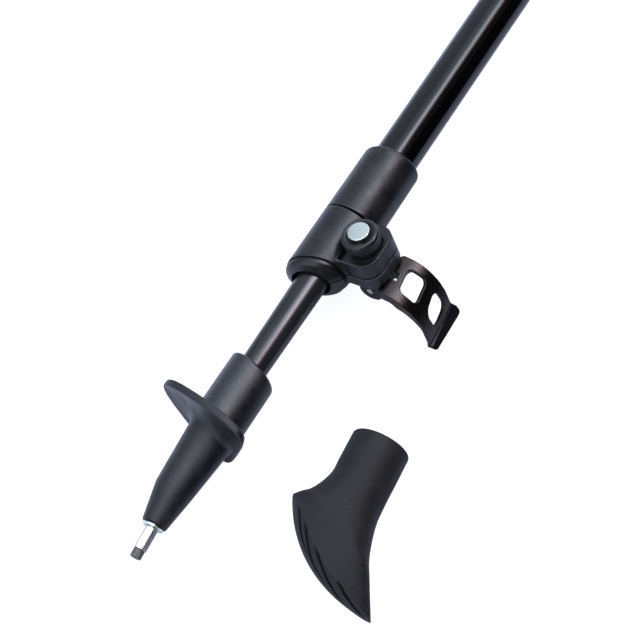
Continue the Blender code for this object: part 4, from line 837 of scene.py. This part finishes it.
CARBIDE = coated(
    "carbide", (0.15, 0.145, 0.13), 0.5, film=(0.5, 4.0), tones=((0.10, 0.095, 0.085), (0.22, 0.215, 0.195)),
    rough=(0.4, 0.7), fine=(0.5, 4.0), bump=(0.12, 0.5), metallic=0.7,
)
tip = eased([
    (0.0, 2.4, 0.0), (1.1, 2.4, 0.2), (1.1, 0.0, 0.1), (1.95, 0.0, 0.15), (1.95, -2.8, 0.3),
    (1.2, -2.8, 0.15), (0.0, -2.3, 0.0),
]) + (0.0, POST_END - 0.15)
made("hard_tip", spun(tip, 64), SPIKE, "lower_section", ["carbide_tip"], CARBIDE)

# Grip.
# Black foam sleeve between a plastic ring and a moulded head on the upper tube's end, outside the photo.

LENGTH_IN_HEAD, SLEEVE, RING_HEIGHT, GRIP_BORE = 3.9, 126.0, 7.0, 8.3
HEAD_Y = UPPER_TOP - LENGTH_IN_HEAD
SLEEVE_Y = HEAD_Y - GAP - SLEEVE
profile = eased([
    (13.2, RING_HEIGHT, 0.3), (13.2, 1.5, 0.8), (11.7, 0.0, 0.8), (GRIP_BORE, 0.0, 0.2),
    (GRIP_BORE, RING_HEIGHT, 0.2),
]) + (0.0, SLEEVE_Y - RING_HEIGHT - GAP)
made("grip_collar", spun(profile, 128), POLE, "pole", ["grip_ring"], BLACK_PLASTIC)

FOAM, shader, place = surface("grip_foam", (0.022, 0.022, 0.024), 0.85, 0.0, 0.3)
shader.inputs["Sheen Weight"].default_value = 0.15
pores = add(shader.id_data, "ShaderNodeTexVoronoi", {"Vector": place, "Scale": 1.6})
film = grain(place, 9.0, 4.0)
feed(shader, Roughness=spread(film, -1.0, 1.0, 0.75, 0.95),
     Base_Color=mixed(spread(film, -1.0, 1.0), (0.018, 0.018, 0.020), (0.032, 0.032, 0.034)))
bumped(shader, pores.outputs["Distance"], 0.25, 0.5)

RIDGES, RIDGE_DEPTH = 21.0, 0.55
share = np.linspace(0.0, 1.0, 253)
radii = np.interp(share, np.linspace(0.0, 1.0, 6), (14.3, 14.9, 13.9, 13.7, 14.6, 15.4))
soft = np.convolve(np.pad(radii, 20, mode="edge"), np.ones(41) / 41.0, mode="valid")
ridged = np.clip((share - 0.08) * 20.0, 0.0, 1.0) * np.clip((0.92 - share) * 20.0, 0.0, 1.0)
soft -= RIDGE_DEPTH * ridged * np.abs(np.sin(math.pi * share * RIDGES)) ** 6
outside = np.stack([soft, share * SLEEVE], axis=-1)[::-1]
outside[[0, -1], 0] -= 0.5
bore = eased([(GRIP_BORE, 0.0, 0.2), (GRIP_BORE, SLEEVE, 0.2)])
profile = np.concatenate([outside, bore]) + (0.0, SLEEVE_Y)
sleeve = made("foam_sleeve", spun(profile, 128), POLE, "pole", ["grip_sleeve"], FOAM)


HEAD_TOP, CROWN_RISE, WELL_RADIUS, WELL_RISE, TUBE_DEPTH, SLOT_RISE = 44.0, 32.0, 7.3, 30.0, 7.0, 14.0


def head_field(x, y, z):
    """The grip's head: a domed turned body with a well for the button, a bore and a slot for the strap."""
    radial, rise = np.hypot(x, z), y - HEAD_Y
    crown = np.hypot(np.maximum(radial - 10.0, 0.0) / 6.0, np.maximum(rise - CROWN_RISE, 0.0) / 12.0)
    side = radial - np.interp(rise, [0.0, 6.0], [15.4, 16.0])
    outside = np.where(rise > CROWN_RISE, 6.0 * (crown - 1.0), side)
    body = rounded_max(outside, np.maximum(-rise, rise - HEAD_TOP), 0.5)
    body = rounded_max(body, -np.maximum(radial - WELL_RADIUS, WELL_RISE - rise), 0.4)
    body = rounded_max(body, -np.maximum(radial - GRIP_BORE, rise - TUBE_DEPTH), 0.2)
    body = np.maximum(body, -np.maximum(radial - 2.9, np.abs(rise - 19.0) - 14.0))
    slot = np.maximum(oval_box(x, rise - SLOT_RISE, 8.5, 3.0, 1.5), -1.0 - z)
    return rounded_max(body, -slot, 0.5)


GRIP_PLASTIC, shader, place = surface("grip_plastic", (0.016, 0.016, 0.018), 0.45)
fine = grain(place, 0.5, 3.0)
edge_wear_and_highlight = spread(marked(place, "edge"), 0.1, 0.6)
feed(shader, Base_Color=mixed(edge_wear_and_highlight, (0.016, 0.016, 0.018), (0.05, 0.05, 0.052)),
     Roughness=spread(fine, -1.0, 1.0, 0.4, 0.55))
bumped(shader, fine, 0.06, 0.3)
net, way = netted(head_field, (-16.2, HEAD_Y - 0.5, -16.2), (16.2, HEAD_Y + 44.5, 16.2), 0.5)
made("head", net, POLE, "pole", ["grip_head"], GRIP_PLASTIC, way,
     {"edge": sharpness(head_field, net[0], way, 0.5)})

# Release button.
# Grey push button in the head's well, whose stem reaches down to the slot. Its spring shortens as it is
# pressed, but here it is built at one fixed length.

BUTTON_GREY = coated(
    "button_grey", (0.20, 0.20, 0.205), 0.45, film=(2.5, 4.0),
    tones=((0.17, 0.17, 0.175), (0.225, 0.225, 0.23)), rough=(0.38, 0.55), fine=(0.3, 2.0), bump=(0.03, 0.2),
)
BUTTON_TOP, STEM_END = HEAD_Y + 48.6, HEAD_Y + 11.5
BUTTON_UNDER = BUTTON_TOP - 6.2
button = eased([
    (0.0, BUTTON_TOP - 0.5, 0.0), (2.6, BUTTON_TOP - 0.3, 1.0), (4.9, BUTTON_TOP, 0.9),
    (6.6, BUTTON_TOP - 1.4, 0.8), (7.0, BUTTON_TOP - 2.4, 0.5), (7.0, BUTTON_UNDER, 0.2),
    (2.6, BUTTON_UNDER, 0.2), (2.6, STEM_END + 1.0, 0.4), (1.6, STEM_END, 0.3), (0.0, STEM_END, 0.0),
])
made("push_button", spun(button, 96), POLE, "button", ["release_button"], BUTTON_GREY)

SPRING_LOW, SPRING_HIGH, SPRING_RADIUS, COILS, WIRE = HEAD_Y + 30.8, HEAD_Y + 41.2, 4.8, 4.5, 0.4
share = np.linspace(0.0, 1.0, 271)[:, None]
swing, around = 2.0 * math.pi * COILS * share, full_turn(12)[None, :]
radius = SPRING_RADIUS + WIRE * np.cos(around)
height = SPRING_LOW + (SPRING_HIGH - SPRING_LOW) * share + WIRE * np.sin(around)
rows = np.stack([radius * np.cos(swing), height, radius * np.sin(swing)], axis=-1)
coil = skinned(rows, False, (rows[0].mean(axis=0), rows[-1].mean(axis=0)))
spring = made("coil_spring", coil, POLE, None, ["button_spring"], STEEL)
low, high = (POLE[:, :3] @ (0.0, y * MM, 0.0) + POLE[:, 3] for y in (SPRING_LOW, SPRING_HIGH))
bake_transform(spring)

# Rubber boot.
# Matte black rubber boot for hard ground: a socket that flares into a hoof, its sole curved and grooved.

BOOT = np.array([
    [0.996575713, -0.078451194, 0.026120462, 0.024269294],
    [0.07804241, 0.996816456, 0.016319221, -0.392973065],
    [-0.027317569, -0.014224835, 0.999525607, 0.011078408],
])
MOUTH, SOCKET, ANKLE = 38.8, 10.5, 22.0
HEEL, TOE_END, PULL = np.array((-18.41, 8.38)), np.array((23.72, -17.84)), np.array((-6.57, -16.39))
SOLE_HALF, COLUMNS = 8.5, 560
spin = full_turn(COLUMNS)


def sole_at(share):
    """The sole's curve from heel to toe: a quadratic curve pulled towards one point."""
    share = np.asarray(share)[..., None]
    return (1.0 - share) ** 2 * HEEL + 2.0 * share * (1.0 - share) * PULL + share**2 * TOE_END


def sole_way(share):
    """The sole's outward direction, square to its curve."""
    share = np.asarray(share)[..., None]
    along = (1.0 - share) * (PULL - HEEL) + share * (TOE_END - PULL)
    along = along / np.linalg.norm(along, axis=-1, keepdims=True)
    return np.stack([along[..., 1], -along[..., 0]], axis=-1)


def sole_half(share):
    """Half the sole's width: an oval that is blunt at the heel and round at the toe."""
    power = np.where(share < 0.5, 4.0, 2.0)
    return SOLE_HALF * np.maximum(1.0 - np.abs(2.0 * share - 1.0) ** power, 0.0) ** (1.0 / power)


def tread(share, z):
    """How far the rounded tread lies inside the sole's curve: most at its sides, nothing in the middle."""
    deepest = np.interp(share, [0.0, 0.04, 0.12, 0.24, 0.36, 0.56, 0.74, 0.84, 0.92, 1.0],
                        [0.2, 0.4, 1.5, 2.6, 3.0, 2.75, 2.1, 1.6, 0.7, 0.0])
    return deepest * np.minimum(np.abs(z) / np.maximum(sole_half(share), 0.5), 1.0) ** 2


def boot_oval(back, front, half, power):
    """An oval between two outline points, boxier with a higher power."""
    across = np.sign(np.cos(spin)) * np.abs(np.cos(spin)) ** (2.0 / power)
    deep = np.sign(np.sin(spin)) * np.abs(np.sin(spin)) ** (2.0 / power)
    back, front = np.array(back), np.array(front)
    flat = (back + front) / 2.0 + across[:, None] * (front - back) / 2.0
    return np.stack([flat[:, 0], flat[:, 1], half * deep], axis=1)


def boot_ring(radius, y):
    return np.stack([radius * np.cos(spin), np.full(COLUMNS, float(y)), radius * np.sin(spin)], axis=1)


def faired(rows, steps):
    """More rows between the given ones, each point on a smooth curve through its places in the rows."""
    rows = np.array(rows)
    padded = np.concatenate([2.0 * rows[:1] - rows[1:2], rows, 2.0 * rows[-1:] - rows[-2:-1]])
    before, low, high, after = padded[:-3], padded[1:-2], padded[2:-1], padded[3:]
    t = np.linspace(0.0, 1.0, steps, endpoint=False)[None, :, None, None]
    before, low, high, after = (part[:, None] for part in (before, low, high, after))
    bend = (2.0 * before - 5.0 * low + 4.0 * high - after) * t**2
    twist = (3.0 * low - before - 3.0 * high + after) * t**3
    found = (2.0 * low + (high - before) * t + bend + twist) / 2.0
    return np.concatenate([found.reshape(-1, *rows.shape[1:]), rows[-1:]])


shares = (1.0 + np.cos(spin)) / 2.0
edge_z = sole_half(shares) * np.sign(np.sin(spin)) * (np.abs(np.sin(spin)) > 1.0e-6)


def tread_row(inward):
    """A line round the sole at a part of its width, on the tread."""
    z = edge_z * inward
    flat = sole_at(shares) - sole_way(shares) * tread(shares, z)[:, None]
    return np.stack([flat[:, 0], flat[:, 1], z], axis=1)


edge_row = tread_row(1.0)
back, front = np.array((-SOCKET, ANKLE)), np.array((SOCKET, ANKLE - 1.0))
flare = [boot_oval((-SOCKET, ANKLE + 5.0), (SOCKET, ANKLE + 5.0), SOCKET, 2.0),
         boot_oval(back, front, SOCKET, 2.0)]
for back_x, back_y, front_x, front_y, width, power in (
    (0.19, 0.367, 0.023, 0.196, 0.982, 2.1), (0.468, 0.668, 0.129, 0.373, 0.982, 2.3),
    (0.75, 0.84, 0.287, 0.541, 1.0, 2.6), (0.92, 0.945, 0.552, 0.718, 0.955, 2.7),
):
    left = back + (HEEL - back) * (back_x, back_y)
    right = front + (TOE_END - front) * (front_x, front_y)
    flare.append(boot_oval(left, right, width * 11.0, power))
flare = faired([*flare, edge_row], 12)
close = [between(flare[-1], flare[-2], share) for share in (0.35, 0.05)]
flare = np.concatenate([flare[:-1], close, flare[-1:]])
mouth = eased([(8.5, MOUTH, 0.0), (9.9, MOUTH, 0.5), (SOCKET, MOUTH - 0.7, 0.4), (SOCKET, ANKLE + 5.0, 0.0)])
BORE_LOW = MOUTH - 34.0
WELL_END, SEAT_Y = BORE_LOW - 11.0, BORE_LOW - 1.8
fit = GAP + SPIKE_OFFSET - TIP_OFFSET
seat, deep = 3.95 + fit, 4.4 + fit
inside = eased([
    (3.45, WELL_END, 0.5), (3.45, SEAT_Y, 0.1), (seat, SEAT_Y, 0.1), (seat, BORE_LOW, 0.1),
    (deep, BORE_LOW + 1.0, 0.4), (7.7, MOUTH - 1.0, 0.6), (8.5, MOUTH, 0.0),
])
rings = [boot_ring(radius, y) for radius, y in np.concatenate([inside, mouth[1:-1]])]
rows = np.concatenate([rings, flare, [tread_row(inward) for inward in np.linspace(0.978, 0.012, 44)]])

GROOVES = (
    ((0.12, 8.0), (0.207, 6.2), (0.27, 5.0), (0.33, 4.2), (0.43, 3.4)),
    ((0.253, 8.4), (0.317, 7.2), (0.398, 5.8), (0.476, 4.3), (0.557, 3.2), (0.64, 2.2)),
    ((0.46, 8.5), (0.526, 7.4), (0.596, 6.2), (0.667, 4.6), (0.724, 3.0), (0.79, 1.0)),
    ((0.73, 7.6), (0.786, 5.9), (0.845, 4.2), (0.906, 2.4), (0.958, 0.4)),
)


def grooved(points):
    """The points with those in a groove's path pushed in, and how far.

    A groove runs slantwise from the tread's side edge towards its middle, along points of (share of the
    sole's curve, width), and fades out there. A point's depth below the tread and its distance beside the
    groove's middle line say how far it moves to the groove's rounded floor."""
    lattice = np.linspace(0.0, 1.0, 500)
    curve, way = sole_at(lattice), sole_way(lattice)
    flat = points[:, :2]
    nearest, depth = np.empty(len(points)), np.empty(len(points))
    for part in np.array_split(np.arange(len(points)), 60):
        gaps = ((flat[part, None, :] - curve[None]) ** 2).sum(axis=2)
        best = gaps.argmin(axis=1)
        nearest[part] = lattice[best]
        depth[part] = -np.einsum("ij,ij->i", flat[part] - curve[best], way[best])
    depth -= tread(nearest, points[:, 2])
    length = np.linalg.norm(np.diff(curve, axis=0), axis=1).sum()
    push = np.zeros(len(points))
    for side, fade_from, fade in ((1.0, 0.8, 0.9), (-1.0, 5.8, 1.4)):
        z = side * points[:, 2]
        for path in GROOVES:
            share, width = np.array(path).T
            middle = np.interp(z, width[::-1], share[::-1])
            slant = np.interp(z, width[::-1], np.gradient(share * length, width)[::-1])
            aside = np.abs(nearest - middle) * length / np.hypot(1.0, slant)
            wall = np.clip((0.64 - aside) / 0.24, 0.0, 1.0)
            floor = 1.7 * np.clip((z - max(fade_from, width[-1])) / fade, 0.0, 1.0)
            need = np.maximum(floor * wall * wall * (3.0 - 2.0 * wall) - depth, 0.0)
            push = np.maximum(push, need * (depth < 2.0) * (depth > -0.3) * (z < sole_half(nearest) + 0.03))
    moved_points = points.copy()
    moved_points[:, :2] -= push[:, None] * sole_way(nearest)
    return moved_points, push


tall, columns = rows.shape[:2]
points = rows.reshape(-1, 3)
start = len(rings) * columns
points[start:], push = grooved(points[start:])
half, last = columns // 2, (tall - 1) * columns
k = np.arange(1, half - 1)
seam = np.stack([last + k, last + k + 1, last + columns - k - 1, last + columns - k], -1)
tips = np.array([[last, last + 1, last + columns - 1], [last + half - 1, last + half, last + half + 1]])
points, faces = skinned(points.reshape(rows.shape), False, ((0.0, WELL_END, 0.0), None))

BOOT_RUBBER, shader, place = surface("boot_rubber", (0.010, 0.010, 0.011), 0.55, 0.0, 0.33)
film = grain(place, 6.0, 5.0)
# Painted shade: the grooves are coloured near-black and made rougher, for the shade deep inside them.
painted_groove_shade = spread(marked(place, "groove"), 0.02, 0.35)
rubber = mixed(spread(film, -1.0, 1.0), (0.0096, 0.0088, 0.0096), (0.0150, 0.0138, 0.0146))
rubber = mixed(painted_groove_shade, rubber, (0.0008, 0.0008, 0.001))
feed(shader, Base_Color=mixed(specks(place, 1.7, 0.12, 0.3), rubber, (0.10, 0.10, 0.10)),
     Roughness=added(spread(film, -1.0, 1.0, 0.5, 0.63), painted_groove_shade, 0.35))
bumped(shader, grain(place, 0.45, 3.0), 0.09, 0.5)
made("walking_boot", (points, [*faces, seam, tips]), BOOT, "boot", ["rubber_boot"],
     BOOT_RUBBER, None, {"groove": np.concatenate([np.zeros(start), push, [0.0]])})

DISC_RADIUS, DISC_UNDER = seat - 0.3, BORE_LOW - 1.5
disc = eased([
    (0.0, BORE_LOW, 0.0), (DISC_RADIUS, BORE_LOW, 0.15), (DISC_RADIUS, DISC_UNDER, 0.15),
    (0.0, DISC_UNDER, 0.0),
])
made("seat_disc", spun(disc, 96), BOOT, "boot", ["boot_disc"], STEEL)

# Floor, light and camera.
# Pale floor that keeps a soft shadow, soft light mostly from above and the left, and the photo's camera.

floor_material = bpy.data.materials.new("floor")
floor_material.use_nodes = True
tree = floor_material.node_tree
tree.nodes.clear()
ray = tree.nodes.new("ShaderNodeLightPath")
spot = add(tree, "ShaderNodeTexCoord").outputs["Object"]
x_spot = add(tree, "ShaderNodeSeparateXYZ", {"Vector": spot}).outputs["X"]
# Painted light and shade seen only in reflections: for glossy rays the floor is a bright bluish band on the
# -X side, dimmer grey-blue around the pole and near-black from 0.1 m on +X.
mirror = mixed(spread(x_spot, -0.12, -0.08), (0.42, 0.45, 0.52), (0.84, 0.88, 0.97))
mirror = mixed(spread(x_spot, -0.055, -0.02), mirror, (0.50, 0.53, 0.61))
mirror = mixed(spread(x_spot, 0.07, 0.1), mirror, (0.02, 0.02, 0.02))
pale = mixed(ray.outputs["Is Glossy Ray"], (0.45, 0.45, 0.45), mirror)
matte = add(tree, "ShaderNodeBsdfDiffuse", {"Color": pale})
bright = calc("MULTIPLY", ray.outputs["Is Camera Ray"], 0.85)
glow = add(tree, "ShaderNodeEmission", {"Strength": bright})
both = add(tree, "ShaderNodeAddShader", {0: matte.outputs[0], 1: glow.outputs[0]})
add(tree, "ShaderNodeOutputMaterial", {"Surface": both.outputs[0]})
FLOOR_HALF = 6.0
corners = [(x * FLOOR_HALF, y * FLOOR_HALF, 0.0) for x, y in ((-1, -1), (1, -1), (1, 1), (-1, 1))]
mesh = bpy.data.meshes.new("floor")
mesh.from_pydata(corners, [], [(0, 1, 2, 3)])
mesh.materials.append(floor_material)
floor_plane = bpy.data.objects.new("floor", mesh)
bpy.context.scene.collection.objects.link(floor_plane)

# The world is white to the camera. To everything else it is a dark room with soft lights in it: a dim panel
# on the -X side up to the zenith, a bright window in it above the pole, a warm stripe at its edge, a soft
# patch to the left in front of it, two faint stripes beyond its end, and a weak fill from in front.
world = bpy.data.worlds.new("studio")
bpy.context.scene.world = world
world.use_nodes = True
tree = world.node_tree
tree.nodes.clear()
ray = tree.nodes.new("ShaderNodeLightPath")
way = add(tree, "ShaderNodeTexCoord").outputs["Generated"]


def towards(direction):
    dot = add(tree, "ShaderNodeVectorMath", {0: way, 1: direction}, operation="DOT_PRODUCT")
    return dot.outputs["Value"]


def hump(value, middle, half):
    """A soft bump: 1 at the middle, 0.37 half a width away."""
    off = calc("DIVIDE", calc("SUBTRACT", value, middle), half)
    return calc("POWER", 2.718, calc("MULTIPLY", off, off, -1.0))


side, along = towards((0.978, -0.001, -0.209)), towards((0.0, 1.0, -0.005))
slid = added(side, spread(along, 0.47, 0.37), 0.14)
cut = spread(added(side, spread(along, 0.47, 0.40), -0.085), 0.045, -0.055)
panel = (cut, spread(side, -1.0, -0.82, 0.45, 1.0), spread(side, -0.7, -0.38, 0.68, 1.5))
window = (cut, spread(slid, -0.36, -0.12), hump(along, 0.43, 0.24), spread(along, 0.27, 0.34))
warm = (hump(side, 0.085, 0.18), spread(along, 0.47, 0.40), spread(along, 0.26, 0.33))
left = (hump(side, -0.5, 0.3), spread(along, 0.34, 0.26), spread(along, -0.2, 0.1))
stripes = added(calc("MULTIPLY", hump(side, 0.08, 0.07), 0.9), hump(side, 0.36, 0.05), 0.22)
tail = (stripes, spread(along, 0.40, 0.45))
front = (spread(along, -0.35, -0.75), spread(side, -0.6, 0.2, 0.5, 1.0))
cool = (0.88, 0.97, 1.16, 1.0)
tint = mixed(spread(side, -0.2, 0.05), (0.88, 0.97, 1.12), (1.04, 0.96, 1.02))
total = add(tree, "ShaderNodeBackground", {"Color": (0.9, 0.92, 1.0, 1.0), "Strength": 0.02}).outputs[0]
for shares, level, colour in (
    (panel, 1.0, cool), (window, 5.8, tint), (warm, 8.0, (1.06, 0.92, 1.0, 1.0)), (left, 2.4, cool),
    (tail, 1.0, (1.0, 0.75, 0.85, 1.0)), (front, 0.25, (0.95, 0.97, 1.0, 1.0)),
):
    strength = calc("MULTIPLY", *shares, level)
    light = add(tree, "ShaderNodeBackground", {"Color": colour, "Strength": strength})
    total = add(tree, "ShaderNodeAddShader", {0: total, 1: light.outputs[0]}).outputs[0]
white = add(tree, "ShaderNodeBackground", {"Color": (1.0, 1.0, 1.0, 1.0), "Strength": 1.0})
both = add(tree, "ShaderNodeMixShader", {0: ray.outputs["Is Camera Ray"], 1: total, 2: white.outputs[0]})
add(tree, "ShaderNodeOutputWorld", {"Surface": both.outputs[0]})

camera_data = bpy.data.cameras.new("camera")
camera_data.sensor_width = 36.0
camera_data.lens = 97.142857
camera_data.clip_start, camera_data.clip_end = 0.05, 30.0
camera = bpy.data.objects.new("camera", camera_data)
camera.matrix_world = Matrix([
    [0.8532807230949402, -0.48379838466644287, 0.1945537030696869, 0.09273643046617508],
    [0.520875096321106, 0.7732482552528381, -0.3616299033164978, -0.5403170585632324],
    [0.02451764978468418, 0.40991002321243286, 0.9117963910102844, 0.5527439117431641],
    [0.0, 0.0, 0.0, 1.0],
])
bpy.context.scene.collection.objects.link(camera)
bpy.context.scene.camera = camera
bpy.context.scene.view_settings.view_transform = "Standard"
